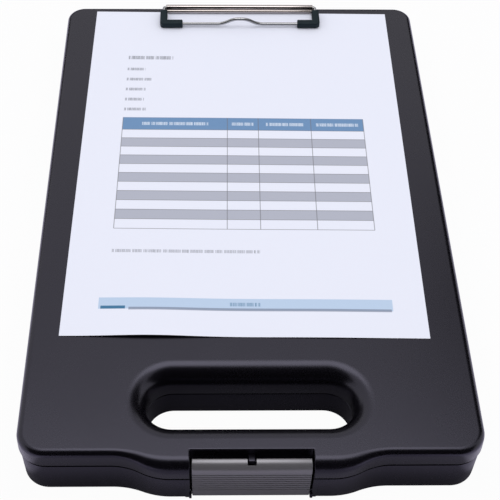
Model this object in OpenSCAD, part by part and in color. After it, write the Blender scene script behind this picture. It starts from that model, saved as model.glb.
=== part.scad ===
// Storage clipboard box for A4 sheets: a flat hinged case with a carrying hole,
// a grip latch at the front and a wire clip at the rear of the lid.
// Frame: X across, +Y towards the hinge, +Z up; the origin lies in the middle
// of the underside, halfway between the rear wall and the front bulge.

/* [Case] */
// Width of the case across the lid
case_w = 250; // [240:1:280]
// Length of the case from the rear wall to the front bulge
case_len = 389; // [380:1:420]
// Height of the closed case without the clip
case_h = 36; // [34:0.5:44]
// Height of the lid's outer edge below its top face
lid_edge_h = 11; // [10:0.5:14]
// Wall thickness of the lid
lid_wall = 2.4; // [2:0.1:2.8]
// Wall thickness of the base
base_wall = 2.4; // [2:0.1:3]
// Thickness of the base's floor
floor_t = 2.2; // [1.8:0.1:3]
// Radius of the two rear corners
rear_corner_r = 12.5; // [10:0.5:20]
// Radius of the two front corners
front_corner_r = 16; // [11:0.5:24]
// Rounding along the lid's top edge
lid_edge_r = 3.8; // [2:0.1:5]
// Rounding along the base's bottom edge
base_edge_r = 1.5; // [1:0.1:4]
// Step from the lid's edge in to the base's rim
rim_step = 0.6; // [0.3:0.1:1.2]
// Further step from the base's rim in to its underside
base_draft = 0.8; // [0.4:0.1:1.6]
// Open seam between the lid and the base
seam_gap = 0.4; // [0.3:0.1:0.8]
// Height of the rim's tongue inside the lid
tongue_h = 2; // [1:0.5:4]
// Room between the tongue and the lid's wall
tongue_gap = 0.4; // [0.3:0.1:0.6]
// Distance from the handle hole back to the sheet stop
stop_gap = 15; // [13:1:25]
// Height of the sheet stop above the floor
stop_h = 16; // [8:1:20]
// Thickness of the sheet stop
stop_t = 1.8; // [1.2:0.1:3]

/* [Front bulge] */
// How far the bulge stands out from the front shoulders
bulge_out = 8.2; // [6:0.2:10]
// How much less the bulge stands out at the underside
bulge_draft = 2; // [0.4:0.1:3]
// Width of the straight middle of the bulge
bulge_flat = 86; // [76:1:100]
// Length of the S-shaped sweep on either side of the bulge
bulge_sweep = 32; // [24:0.5:40]

/* [Handle] */
// Length of the handle hole
hole_len = 114; // [90:1:120]
// Depth of the handle hole from front to rear
hole_depth = 30.4; // [29:0.5:36]
// Corner radius of the handle hole
hole_corner_r = 14; // [8:0.5:14.4]
// Width of the grip bar from the front shoulders to the hole
grip_bar = 19.5; // [18:0.5:24]
// Radius of the large fillet around the hole's upper edge
hole_fillet = 10.5; // [6:0.5:10.5]
// Wall thickness of the collars around the hole
collar_wall = 2.2; // [1.6:0.1:2.6]
// Height at which the two collars meet inside the hole
collar_seam_z = 18; // [10:0.5:22]

/* [Latch] */
// Width of the notch that the latch sits in
notch_w = 65.4; // [56:0.5:69]
// Distance from the bulge back to the notch's rear wall in the lid
notch_depth = 11.1; // [10:0.1:12]
// Distance from the bulge back to the recess's rear wall in the base
recess_depth = 7.6; // [7.4:0.1:8.6]
// Wall thickness around the notch and the recess
housing_wall = 2.2; // [1.6:0.1:2.6]
// Gap between the latch and each side of the notch
latch_side_gap = 1.2; // [0.4:0.1:1.6]
// Thickness of the latch plate
latch_t = 2.2; // [1.6:0.1:2.6]
// Radius of the latch's curled top
latch_curl_r = 5.5; // [5:0.1:7]
// Depth of the latch's top below the lid's top face
latch_drop = 1.2; // [0.4:0.1:2]
// Distance of the latch's front face behind the tip of the bulge
latch_back = 0.2; // [0.1:0.1:0.6]
// Outer radius of the barrel at the latch's lower end
barrel_r = 1.9; // [1.8:0.1:2.6]
// Outer radius of the ears that carry the latch's pins
ear_r = 3.4; // [3:0.1:3.8]
// Thickness of each ear
ear_t = 1.4; // [1.2:0.1:2]
// Gap between each ear and the latch
ear_gap = 0.4; // [0.4:0.1:0.6]
// Distance from the bulge back to the latch's pins
pivot_back = 4.9; // [4.7:0.1:5.1]
// Diameter of the latch pins
latch_pin_d = 2; // [1.6:0.1:2.2]
// Length of each latch pin
latch_pin_len = 8; // [6:0.5:12]
// Number of grip grooves across the latch
groove_count = 8; // [3:1:8]
// Spacing of the grip grooves
groove_pitch = 2.55; // [1.6:0.05:2.6]
// Radius of the round bottom of each groove
groove_r = 0.4; // [0.2:0.1:0.6]
// Height of the lowest groove above the latch's pins
groove_start = 6.6; // [4:0.1:7]
// Width of the small slot in the latch's top edge
slot_w = 4.8; // [4:0.2:8]
// Depth of that slot
slot_depth = 3; // [2:0.1:4]
// Room between the lid's catch nose and the slot
nose_gap = 0.5; // [0.3:0.1:0.8]
// Height of the lid's catch nose
nose_h = 3.6; // [2.4:0.2:4]
// How far the catch nose rises past the latch's inner face
nose_rise = 0.6; // [0.2:0.1:1]
// Room behind the inner end of each latch pin
latch_pin_room = 0.5; // [0.2:0.1:1]
// Depth of each latch pin's outer end below the far face of the recess's wall
latch_pin_sink = 0.2; // [0.1:0.1:0.5]

/* [Hinge] */
// Distance from the rear wall out to the hinge pins
hinge_out = 4; // [3.9:0.1:5]
// Outer radius of the hinge knuckles
knuckle_r = 3.4; // [3:0.1:3.5]
// Length of the lid's knuckle at each hinge
lid_knuckle_len = 14; // [8:1:24]
// Length of each of the base's two knuckles at a hinge
base_knuckle_len = 9; // [5:1:14]
// Gap between neighbouring knuckles
knuckle_gap = 0.4; // [0.3:0.1:0.8]
// Diameter of the hinge pins
hinge_pin_d = 3; // [2:0.1:3.6]
// Distance of each hinge from the side of the case
hinge_side = 43; // [33:1:60]

/* [Clip] */
// Length of the clip bracket across the lid
bracket_len = 106.8; // [80:1:130]
// Depth of the bracket's plate from front to rear
plate_depth = 25; // [20:1:34]
// Sheet metal thickness of the plate
plate_t = 1; // [0.8:0.1:1.4]
// Thickness of the upright web that joins the roll to the plate
web_t = 0.8; // [0.6:0.1:1]
// Distance from the roll's front back to the web
web_back = 0.65; // [0.6:0.05:0.9]
// Outer diameter of the roll that holds the wire
roll_d = 4; // [3.8:0.1:4.6]
// Distance of the roll's centre in front of the rear wall
roll_back = 5.15; // [4.6:0.05:8]
// Height of the roll's centre above the lid's top face
roll_up = 3.2; // [3:0.1:4]
// Diameter of the bead along the bracket's front edge
bead_d = 2.6; // [2:0.1:2.8]
// Distance of the bead's centre in front of the roll's centre
bead_front = 2.65; // [2:0.05:2.8]
// Height of the bead's underside above the lid's top face
bead_up = 0.4; // [0.3:0.05:0.8]
// Gap around the plate in its recess in the lid
plate_gap = 0.4; // [0.2:0.1:1]
// Thickness of the pad under the plate, measured below the lid's wall
pad_t = 2; // [1:0.5:3]
// Width by which the pad reaches past the plate
pad_margin = 3; // [2:0.5:8]
// Distance of each rivet from the end of the bracket
rivet_side = 15.4; // [8:0.1:26]
// Shank diameter of the rivets
rivet_d = 4; // [3:0.1:5]
// Head diameter of the rivets
rivet_head_d = 7; // [6:0.1:9]
// Outer diameter of the washers under the pad
washer_d = 9; // [8:0.1:12]
// Thickness of the washers
washer_t = 0.8; // [0.5:0.1:1.5]
// Height of the formed tail of each rivet
tail_h = 1.2; // [0.8:0.1:2]
// Diameter of the formed tail of each rivet
tail_d = 6.4; // [5:0.1:7.5]
// Sheet metal left under the rim of each countersunk head
head_land = 0.05; // [0.05:0.05:0.3]

/* [Bail] */
// Diameter of the bail's wire
wire_d = 2.3; // [2:0.1:2.4]
// Length of the bail from the roll to its front limb
bail_len = 18.35; // [16:0.05:24]
// Height that the bail falls towards its front limb
bail_fall = 0.5; // [0:0.1:0.6]
// Gap between the bail's arms and the ends of the bracket
arm_gap = 0.35; // [0.3:0.05:1]
// Inner radius of the bend where each arm turns into the roll
elbow_inner_r = 0.2; // [0.1:0.1:0.6]
// Length of the wire's end inside the roll
trunnion_len = 32; // [15:1:34]
// Height of the finger lift in the middle of the wire
lift_h = 4.4; // [3:0.1:6]
// Length of the flat top of the finger lift
lift_flat = 8; // [4:1:16]
// Length of each sloping side of the finger lift
lift_sweep = 11; // [9:0.5:14]
// Width of the rubber corner caps
cap_w = 5.1; // [4:0.1:5.4]
// Height of the rubber corner caps
cap_h = 4.3; // [3.6:0.1:4.4]
// Length of each cap along the front limb
cap_front_len = 16.2; // [10:0.1:24]
// Gap between the cap's rear end and the roll's centre
cap_rear_gap = 4.6; // [4.6:0.1:6]
// Corner radius of the caps
cap_corner_r = 3; // [1:0.5:4]
// Gap between the two coil springs in the middle of the roll
spring_apart = 6.3; // [2:0.1:8]
// Wire diameter of the coil springs
spring_wire_d = 0.45; // [0.3:0.05:0.6]
// Gap between each spring and the end of the wire
spring_gap = 0.4; // [0.3:0.1:1]

/* [Sheet] */
// Width of the form sheet
sheet_w = 210; // [148:1:216]
// Length of the form sheet
sheet_len = 297; // [210:1:297]
// Thickness of the form sheet
sheet_t = 0.2; // [0.1:0.1:0.3]
// Turn of the sheet on the lid, in degrees
sheet_turn = -0.67; // [-0.7:0.01:0.7]
// Distance from the roll's centre to the middle of the sheet's rear edge
sheet_gap = 2.25; // [2.25:0.05:6]
// Sideways place of the sheet on the lid
sheet_x = -0.5; // [-2:0.1:2]

/* [Hidden] */
$fn = 48;

// Segments in each quarter corner, each half of an S sweep and each edge rounding
corner_steps = 8;
sweep_steps = 6;
round_steps = 6;
// Angle of the barrel in the latch's side view, and the segments of its barrel and its curl
barrel_turn = 260;
barrel_steps = 20;
curl_steps = 12;
// Sides of the bent part of the wire, and how much thinner it is than the straight ends it runs into
wire_sides = 12;
wire_relief = 0.02;
// Radial clearances of pins that turn and of pieces that stay put
run_fit = 0.06;
fixed_fit = 0.03;
// Overshoot of cutting bodies, and the small one where they round an edge
over = 1;
skim = 0.05;

// Case
rear_y = case_len / 2;
bulge_y = -case_len / 2;
shoulder_y = bulge_y + bulge_out;
rim_z = case_h - lid_edge_h;
base_top_z = rim_z - seam_gap;
lid_draft = 0.15;
lid_inner_z = case_h - lid_wall;
base_floor_inset = rim_step + base_draft;
base_cavity_inset = base_floor_inset + base_wall;
base_bulge = bulge_out - bulge_draft;
tongue_inset = lid_wall + tongue_gap;
tongue_z = base_top_z + tongue_h;

// Handle
hole_front_y = shoulder_y + grip_bar;
hole_y = hole_front_y + hole_depth / 2;
hole_rear_y = hole_front_y + hole_depth;
stop_y = hole_rear_y + stop_gap;
fillet_z = case_h - hole_fillet;
collar_top_z = case_h - lid_wall / 4;

// Latch
notch_y = bulge_y + notch_depth;
recess_y = bulge_y + recess_depth;
pivot_y = bulge_y + pivot_back;
pivot_z = ear_r;
latch_w = notch_w - 2 * latch_side_gap;
latch_face_y = bulge_y + latch_back;
latch_top_z = case_h - latch_drop;
curl_y = latch_face_y + latch_curl_r;
curl_z = latch_top_z - latch_curl_r;
nose_y = curl_y - slot_depth + nose_gap;
nose_z = latch_top_z - latch_t + nose_rise - nose_h / 2;
slot_low_z = curl_z + latch_curl_r / 4;
ear_x = latch_w / 2 + ear_gap;
latch_pin_end = notch_w / 2 + housing_wall - latch_pin_sink;

// Hinge
hinge_x = case_w / 2 - hinge_side;
hinge_y = rear_y + hinge_out;
hinge_z = rim_z;
hinge_len = lid_knuckle_len + 2 * (base_knuckle_len + knuckle_gap);

// Clip
roll_y = rear_y - roll_back;
roll_z = case_h + roll_up;
bead_y = roll_y - bead_front;
bead_z = case_h + bead_up + bead_d / 2;
web_front = roll_y - roll_d / 2 + web_back;
plate_rear = web_front + web_t;
plate_front = plate_rear - plate_depth;
pad_z = lid_inner_z - pad_t;
rivet_x = bracket_len / 2 - rivet_side;
rivet_y = (plate_front + plate_rear) / 2;
head_h = plate_t - head_land;

// Bail
bail_turn = asin(bail_fall / bail_len);
arm_x = bracket_len / 2 + arm_gap + wire_d / 2;
elbow_r = wire_d / 2 + elbow_inner_r;
trunnion_end = arm_x - elbow_r - trunnion_len;
lift_angle = 2 * atan(lift_h / lift_sweep);
lift_r = lift_sweep / (2 * sin(lift_angle));
spring_r = wire_d / 2;
spring_far = trunnion_end - spring_gap;
spring_len = spring_far - spring_apart / 2;

// Points of an arc about c, from angle a to angle b
function arc(c, r, a, b, steps) =
    [for (i = [0:steps]) let (t = a + (b - a) * i / steps) c + r * [cos(t), sin(t)]];

function tail(list) = [for (i = [1:len(list) - 1]) list[i]];
function mirrored(list) = [for (i = [len(list) - 1:-1:0]) [-list[i][0], list[i][1]]];

// Right half of the case outline, moved inwards by inset, with a bulge of the given size
function half_outline(inset, out) =
    let (t = 2 * atan(out / bulge_sweep), r = bulge_sweep / (2 * sin(t)), w = case_w / 2)
    concat(
        arc([bulge_flat / 2, shoulder_y - out + r], r - inset, -90, t - 90, sweep_steps),
        tail(arc([bulge_flat / 2 + bulge_sweep, shoulder_y - r], r + inset, 90 + t, 90, sweep_steps)),
        arc([w - front_corner_r, shoulder_y + front_corner_r], front_corner_r - inset, -90, 0, corner_steps),
        arc([w - rear_corner_r, rear_y - rear_corner_r], rear_corner_r - inset, 0, 90, corner_steps));

function outline(inset, out = bulge_out) =
    let (half = half_outline(inset, out)) concat(half, mirrored(half));

// Outline of the handle hole, moved outwards by grow
function hole_half(grow) =
    let (x = hole_len / 2 - hole_corner_r, y = hole_depth / 2 - hole_corner_r, r = hole_corner_r + grow)
    concat(arc([x, hole_y - y], r, -90, 0, corner_steps), arc([x, hole_y + y], r, 0, 90, corner_steps));

function hole_outline(grow) = let (half = hole_half(grow)) concat(half, mirrored(half));

// Mean of a ring's points
function middle(ring) = [for (p = ring) 1] * ring / len(ring);

// Solid through closed rings of equal point count, in order along the solid;
// each end is a fan about the middle of its ring
module skin(rings) {
    n = len(rings[0]);
    last = n * (len(rings) - 1);
    hub = last + n;
    sides = [for (k = [0:len(rings) - 2]) for (i = [0:n - 1])
        let (a = k * n + i, b = k * n + (i + 1) % n) each [[a, a + n, b + n], [a, b + n, b]]];
    ends = [for (i = [0:n - 1]) let (j = (i + 1) % n) each [[hub, i, j], [hub + 1, last + j, last + i]]];
    polyhedron(concat([for (ring = rings) each ring], [middle(rings[0]), middle(rings[len(rings) - 1])]),
        concat(sides, ends));
}

// Solid through level outlines, each at its own height
module loft(outlines, heights) {
    skin([for (k = [0:len(outlines) - 1]) [for (p = outlines[k]) [p[0], p[1], heights[k]]]]);
}

// Round tube along a path whose direction is never upright
module tube(path, r, sides) {
    end = len(path) - 1;
    skin([for (i = [0:end])
        let (t = path[min(i + 1, end)] - path[max(i - 1, 0)],
            u = cross(t, [0, 0, 1]) / norm(cross(t, [0, 0, 1])),
            v = cross(t, u) / norm(cross(t, u)))
        [for (k = [0:sides - 1]) path[i] + r * (cos(360 * k / sides) * u + sin(360 * k / sides) * v)]]);
}

// Straight prism of an outline between two heights
module prism(points, z0, z1) {
    translate([0, 0, z0]) linear_extrude(z1 - z0) polygon(points);
}

// Box given by its lowest and highest corners
module block(low, high) {
    translate(low) cube(high - low);
}

// Cylinder along X between two places
module rod(r, x0, x1, y, z) {
    translate([x0, y, z]) rotate([0, 90, 0]) cylinder(r = r, h = x1 - x0);
}

// Profile in Y and Z carried along X, centred
module across(width) {
    translate([-width / 2, 0, 0]) rotate([90, 0, 90]) linear_extrude(width) children();
}

module both_sides() {
    children();
    mirror([1, 0, 0]) children();
}

// Place that follows the bail: its origin is the roll's centre
module in_bail_frame() {
    translate([0, roll_y, roll_z]) rotate([bail_turn, 0, 0]) children();
}

// Outside of the base with its rounded underside, its rim and the tongue on the rim
module base_outer() {
    angles = [for (i = [0:round_steps]) 90 * i / round_steps];
    loft(
        concat([for (a = angles) outline(base_floor_inset + base_edge_r * (1 - sin(a)), base_bulge)],
            [outline(rim_step), outline(tongue_inset), outline(tongue_inset)]),
        concat([for (a = angles) base_edge_r * (1 - cos(a))], [base_top_z, base_top_z, tongue_z]));
}

module latch_housing(y_face, z0, z1) {
    half = notch_w / 2 + housing_wall;
    block([-half, bulge_y - over, z0], [half, y_face + housing_wall, z1]);
}

module latch_opening(y_face, z0, z1) {
    block([-notch_w / 2, bulge_y - 2 * over, z0], [notch_w / 2, y_face, z1]);
}

module base_cavity() {
    difference() {
        prism(outline(base_cavity_inset, base_bulge), floor_t, tongue_z + over);
        block([-case_w, stop_y, 0], [case_w, stop_y + stop_t, floor_t + stop_h]);
        prism(hole_outline(collar_wall), 0, collar_seam_z - seam_gap);
        latch_housing(recess_y, 0, base_top_z);
    }
}

// Hole through the base, rounded where it meets the underside
module base_hole() {
    angles = [for (i = [0:round_steps]) 90 * i / round_steps];
    grows = concat([base_edge_r], [for (a = angles) base_edge_r * (1 - sin(a))], [0]);
    heights = concat([-over], [for (a = angles) base_edge_r * (1 - cos(a)) - skim * cos(a)],
        [collar_seam_z]);
    loft([for (g = grows) hole_outline(g)], heights);
}

// Room that the walls around the lid's notch need in the tongue
module tongue_gap_at_notch() {
    side = notch_w / 2 + housing_wall + tongue_gap;
    block([-side, bulge_y - over, base_top_z], [side, notch_y + housing_wall + tongue_gap, tongue_z + over]);
}

module base_knuckles() {
    for (side = [-1, 1], end = [-1, 1]) {
        x = side * hinge_x + end * (hinge_len - base_knuckle_len) / 2 - base_knuckle_len / 2;
        rod(knuckle_r, x, x + base_knuckle_len, hinge_y, hinge_z);
        block([x, rear_y - base_wall, hinge_z - knuckle_r], [x + base_knuckle_len, hinge_y, base_top_z]);
    }
}

// Room for the right hinge pin with a radial clearance
module hinge_bore(fit) {
    rod(hinge_pin_d / 2 + fit, hinge_x - hinge_len, hinge_x + hinge_len, hinge_y, hinge_z);
}

module base_shell() {
    color("#2e2c32") difference() {
        union() {
            difference() {
                base_outer();
                base_cavity();
                base_hole();
                latch_opening(recess_y, -over, base_top_z + over);
                tongue_gap_at_notch();
            }
            both_sides() rod(ear_r, ear_x, ear_x + ear_t, pivot_y, pivot_z);
            base_knuckles();
        }
        both_sides() hinge_bore(fixed_fit);
        rod(latch_pin_d / 2 + fixed_fit, -notch_w, notch_w, pivot_y, pivot_z);
    }
}

module lid_outer() {
    angles = [for (i = [0:round_steps]) 90 * i / round_steps];
    insets = concat([0], [for (a = angles) lid_draft + lid_edge_r * (1 - cos(a))]);
    heights = concat([rim_z], [for (a = angles) case_h - lid_edge_r * (1 - sin(a))]);
    loft([for (i = insets) outline(i)], heights);
}

// Body around the handle hole that keeps its wall thickness under the large fillet
module lid_collar_body() {
    angles = [for (i = [0:round_steps]) 90 * i / round_steps];
    inner_r = hole_fillet - collar_wall;
    grows = concat([collar_wall], [for (a = angles) hole_fillet - inner_r * cos(a)], [hole_fillet]);
    heights = concat([collar_seam_z], [for (a = angles) fillet_z + inner_r * sin(a)], [collar_top_z]);
    loft([for (g = grows) hole_outline(g)], heights);
}

module lid_hole() {
    angles = [for (i = [0:round_steps]) 90 * i / round_steps];
    grows = concat([0], [for (a = angles) hole_fillet * (1 - cos(a))], [hole_fillet]);
    heights = concat([collar_seam_z - over], [for (a = angles) fillet_z + (hole_fillet + skim) * sin(a)],
        [case_h + over]);
    loft([for (g = grows) hole_outline(g)], heights);
}

module lid_cavity() {
    difference() {
        prism(outline(lid_wall), rim_z - over, lid_inner_z);
        lid_collar_body();
        latch_housing(notch_y, rim_z - 2 * over, case_h);
        block([-bracket_len / 2 - pad_margin, plate_front - pad_margin, pad_z],
            [bracket_len / 2 + pad_margin, rear_y, case_h]);
    }
}

module plate_outline(grow) {
    r = cap_corner_r;
    low = [-bracket_len / 2 - grow, plate_front - grow];
    size = [bracket_len + 2 * grow, plate_rear - plate_front + 2 * grow];
    translate(low + [0, r]) square(size - [0, r]);
    translate(low + [r, 0]) square(size - [2 * r, 0]);
    for (x = [r, size[0] - r]) translate(low + [x, r]) circle(r);
}

module lid_knuckles() {
    for (side = [-1, 1]) {
        x = side * hinge_x - lid_knuckle_len / 2;
        rod(knuckle_r, x, x + lid_knuckle_len, hinge_y, hinge_z);
        block([x, rear_y - lid_wall, hinge_z], [x + lid_knuckle_len, hinge_y, hinge_z + knuckle_r]);
    }
}

// Nose on the lid that stands in the slot of the latch
module catch_nose() {
    half = slot_w / 2 - nose_gap;
    r = nose_h / 2;
    block([-half, nose_y + r, nose_z - r], [half, notch_y + housing_wall / 2, nose_z + r]);
    rod(r, -half, half, nose_y + r, nose_z);
}

module lid_shell() {
    color("#302e34") difference() {
        union() {
            difference() {
                union() {
                    difference() {
                        lid_outer();
                        lid_cavity();
                    }
                    prism(hole_outline(collar_wall), collar_seam_z, rim_z + over);
                }
                lid_hole();
                latch_opening(notch_y, rim_z - over, case_h + over);
            }
            lid_knuckles();
            catch_nose();
        }
        translate([0, 0, case_h - plate_t]) linear_extrude(plate_t + over) plate_outline(plate_gap);
        both_sides() translate([rivet_x, rivet_y, pad_z - over])
            cylinder(r = rivet_d / 2 + fixed_fit, h = case_h - pad_z);
        both_sides() hinge_bore(run_fit);
    }
}

module hinge_pin(side) {
    color("silver") rod(hinge_pin_d / 2, side * hinge_x - hinge_len / 2, side * hinge_x + hinge_len / 2,
        hinge_y, hinge_z);
}

// Side view of the latch: barrel, straight plate and curled top
module latch_profile() {
    polygon(concat(
        arc([pivot_y, pivot_z], barrel_r, 180, 180 + barrel_turn, barrel_steps),
        arc([curl_y, curl_z], latch_curl_r - latch_t, 180, 90, curl_steps),
        arc([curl_y, curl_z], latch_curl_r, 90, 180, curl_steps)));
}

module latch() {
    lean = (latch_face_y - (pivot_y - barrel_r)) / (curl_z - pivot_z);
    color("#6b6970") difference() {
        across(latch_w) latch_profile();
        for (i = [0:groove_count - 1]) {
            up = groove_start + i * groove_pitch;
            rod(groove_r, -notch_w / 2, notch_w / 2, pivot_y - barrel_r + lean * up, pivot_z + up);
        }
        block([-slot_w / 2, curl_y - slot_depth, slot_low_z], [slot_w / 2, curl_y + over, case_h]);
        both_sides() rod(latch_pin_d / 2 + run_fit, latch_pin_end - latch_pin_len - latch_pin_room,
            notch_w / 2, pivot_y, pivot_z);
    }
}

module latch_pin(side) {
    low = side > 0 ? latch_pin_end - latch_pin_len : -latch_pin_end;
    color("silver") rod(latch_pin_d / 2, low, low + latch_pin_len, pivot_y, pivot_z);
}

module clip_bracket() {
    color("lightgray") difference() {
        union() {
            translate([0, 0, case_h - plate_t]) linear_extrude(plate_t) plate_outline(0);
            across(bracket_len) {
                translate([roll_y, roll_z]) circle(roll_d / 2);
                translate([bead_y, bead_z]) circle(bead_d / 2);
                translate([web_front, case_h - plate_t / 2]) square([web_t, roll_up]);
                translate([bead_y, bead_z - web_t / 2]) square([web_front - bead_y + web_t, web_t]);
            }
        }
        rod(wire_d / 2 + run_fit, -bracket_len, bracket_len, roll_y, roll_z);
        both_sides() translate([rivet_x, rivet_y, case_h]) rivet_head(fixed_fit);
        both_sides() translate([rivet_x, rivet_y, case_h - 2 * plate_t])
            cylinder(r = rivet_d / 2 + fixed_fit, h = 3 * plate_t);
    }
}

// Countersunk head with its top at the origin, grown by a clearance
module rivet_head(grow) {
    translate([0, 0, -head_h]) cylinder(r1 = rivet_d / 2 + grow, r2 = rivet_head_d / 2 + grow, h = head_h);
}

module clip_rivet(side) {
    color("silver") translate([side * rivet_x, rivet_y, 0]) {
        translate([0, 0, case_h]) rivet_head(0);
        translate([0, 0, pad_z - washer_t]) cylinder(d = rivet_d, h = case_h - head_h - pad_z + washer_t);
        translate([0, 0, pad_z - washer_t - tail_h]) cylinder(d = tail_d, h = tail_h);
    }
}

module clip_washer(side) {
    color("gray") translate([side * rivet_x, rivet_y, pad_z - washer_t]) difference() {
        cylinder(d = washer_d, h = washer_t);
        translate([0, 0, -over]) cylinder(r = rivet_d / 2 + fixed_fit, h = washer_t + 2 * over);
    }
}

// Right half of the wire's middle line, from the finger lift to the roll
function bail_half() =
    let (foot = lift_flat / 2 + lift_sweep, r = cap_w / 2,
        crest = arc([lift_flat / 2, lift_h - lift_r], lift_r, 90, 90 - lift_angle, sweep_steps),
        slope = arc([foot, lift_r], lift_r, 270 - lift_angle, 270, sweep_steps))
    concat(
        [for (p = concat(crest, tail(slope))) [p[0], -bail_len, p[1]]],
        [for (p = arc([arm_x - r, r - bail_len], r, -90, 0, corner_steps)) [p[0], p[1], 0]],
        [for (p = arc([arm_x - elbow_r, -elbow_r], elbow_r, 0, 90, corner_steps)) [p[0], p[1], 0]],
        [[arm_x - elbow_r - over, 0, 0]]);

module bail_wire() {
    half = bail_half();
    left = [for (i = [len(half) - 1:-1:0]) [-half[i][0], half[i][1], half[i][2]]];
    color("silver") in_bail_frame() {
        tube(concat(left, half), wire_d / 2 - wire_relief, wire_sides);
        both_sides() rod(wire_d / 2, trunnion_end, arm_x - elbow_r, 0, 0);
    }
}

module bail_cap() {
    front = -bail_len - cap_w / 2;
    outer = arm_x + cap_w / 2;
    inner = outer - cap_front_len;
    r = cap_corner_r;
    difference() {
        translate([0, 0, -cap_h / 2]) linear_extrude(cap_h) polygon(concat(
            [[inner, front]],
            arc([outer - r, front + r], r, -90, 0, corner_steps),
            [[outer, -cap_rear_gap], [outer - cap_w, -cap_rear_gap], [outer - cap_w, front + cap_w],
                [inner, front + cap_w]]));
        rod(wire_d / 2 + fixed_fit, inner - over, arm_x - cap_w / 2, -bail_len, 0);
        translate([arm_x - cap_w / 2, cap_w / 2 - bail_len, 0]) rotate([0, 0, -90])
            rotate_extrude(angle = 90) translate([cap_w / 2, 0]) circle(wire_d / 2 + fixed_fit);
        translate([arm_x, cap_w / 2 - bail_len, 0]) rotate([-90, 0, 0])
            cylinder(r = wire_d / 2 + fixed_fit, h = bail_len);
    }
}

module bail_cap_right() {
    color("#1d2024") in_bail_frame() bail_cap();
}

module bail_cap_left() {
    color("#1d2024") in_bail_frame() mirror([1, 0, 0]) bail_cap();
}

// Coil spring inside the roll, as the closed tube that its turns fill
module bail_spring(side) {
    low = side > 0 ? spring_far - spring_len : -spring_far;
    color("dimgray") difference() {
        rod(spring_r, low, low + spring_len, roll_y, roll_z);
        rod(spring_r - spring_wire_d, low - over, low + spring_len + over, roll_y, roll_z);
    }
}

module form_sheet() {
    color("white") translate([sheet_x, roll_y - sheet_gap - sheet_len / 2, case_h])
        rotate([0, 0, sheet_turn])
            block([-sheet_w / 2, -sheet_len / 2, 0], [sheet_w / 2, sheet_len / 2, sheet_t]);
}

base_shell();
lid_shell();
hinge_pin(-1);  // hinge_pin_left
hinge_pin(1);  // hinge_pin_right
latch();
latch_pin(-1);  // latch_pin_left
latch_pin(1);  // latch_pin_right
clip_bracket();
clip_rivet(-1);  // clip_rivet_left
clip_rivet(1);  // clip_rivet_right
clip_washer(-1);  // clip_washer_left
clip_washer(1);  // clip_washer_right
bail_wire();
bail_cap_left();
bail_cap_right();
bail_spring(-1);  // bail_spring_left
bail_spring(1);  // bail_spring_right
form_sheet();
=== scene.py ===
"""Looks of a flat hinged clipboard box with a carrying hole, a grip latch and a wire clip.

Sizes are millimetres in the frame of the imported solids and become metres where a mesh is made.
"""

import logging
import math
from dataclasses import dataclass, field
from enum import Enum
from typing import Iterable, Sequence

import bmesh
import bpy
import numpy as np
from mathutils import Matrix, Vector
from mathutils.geometry import delaunay_2d_cdt


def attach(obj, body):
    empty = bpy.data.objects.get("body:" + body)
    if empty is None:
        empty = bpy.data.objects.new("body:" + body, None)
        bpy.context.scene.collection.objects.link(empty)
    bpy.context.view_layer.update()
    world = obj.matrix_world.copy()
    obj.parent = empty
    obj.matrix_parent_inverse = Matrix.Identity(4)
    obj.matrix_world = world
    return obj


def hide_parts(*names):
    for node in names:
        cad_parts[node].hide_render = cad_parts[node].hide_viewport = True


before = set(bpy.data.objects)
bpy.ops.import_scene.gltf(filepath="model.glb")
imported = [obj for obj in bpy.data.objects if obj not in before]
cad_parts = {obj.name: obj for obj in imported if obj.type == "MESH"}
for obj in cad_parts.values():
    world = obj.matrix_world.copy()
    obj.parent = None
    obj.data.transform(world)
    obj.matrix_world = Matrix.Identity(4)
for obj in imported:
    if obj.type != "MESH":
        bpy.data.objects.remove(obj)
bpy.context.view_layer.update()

MM = 0.001
OVERLAP = 1.0  # How far joined and cut pieces reach past each other, in millimetres
SHARP = 0.0001  # Rounding of an edge that stays sharp, in millimetres
CASE_ANGLE, LATCH_ANGLE, ROUND_ANGLE, FINE_ANGLE = 33.0, 40.0, 50.0, 60.0  # Where edges turn sharp, degrees
ROLL = (189.35, 39.2)  # Y and Z of the clip's roll, about which the bail turns
PIVOT = (-189.6, 3.4)  # Y and Z of the latch's pin
WHITE = (1.0, 1.0, 1.0, 1.0)
LOG = logging.getLogger("clipboard_box")

Points = np.ndarray
Colour = tuple[float, float, float]
Faces = list[list[int]]


class Body(Enum):
    """The moving bodies of the part."""

    BASE = "base"
    LID = "lid"
    LATCH = "latch"
    BAIL = "bail"


class Mix(Enum):
    """The ways in which two solids are combined."""

    JOIN = "UNION"
    CUT = "DIFFERENCE"


# --- Curves in a plane ---


def arc(centre: Sequence[float], radius: float, start: float, end: float, steps: int) -> Points:
    """Points of a circular arc: centre + radius * (cos t, sin t), t running evenly from start to end.

    Args:
        centre: Middle of the circle.
        radius: Radius of the circle.
        start: First angle in degrees.
        end: Last angle in degrees.
        steps: Number of segments.

    Returns:
        An array of steps + 1 points in the plane.
    """
    t = np.radians(np.linspace(start, end, steps + 1))
    return np.asarray(centre, float) + radius * np.column_stack((np.cos(t), np.sin(t)))


def circle(centre: Sequence[float], radius: float, count: int = 48) -> Points:
    """Evenly spread points of a whole circle, counter-clockwise."""
    return arc(centre, radius, 0, 360 - 360 / count, count - 1)


def quarter_round(radius: float, steps: int) -> list[tuple[float, float]]:
    """What is left and what is done of a quarter round, step by step.

    Args:
        radius: Radius of the edge.
        steps: Number of segments.

    Returns:
        The pairs (radius * (1 - sin a), radius * (1 - cos a)), a running from zero to a right angle.
    """
    return [(radius * (1 - math.sin(a)), radius * (1 - math.cos(a)))
            for a in np.linspace(0, math.pi / 2, steps + 1)]


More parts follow.
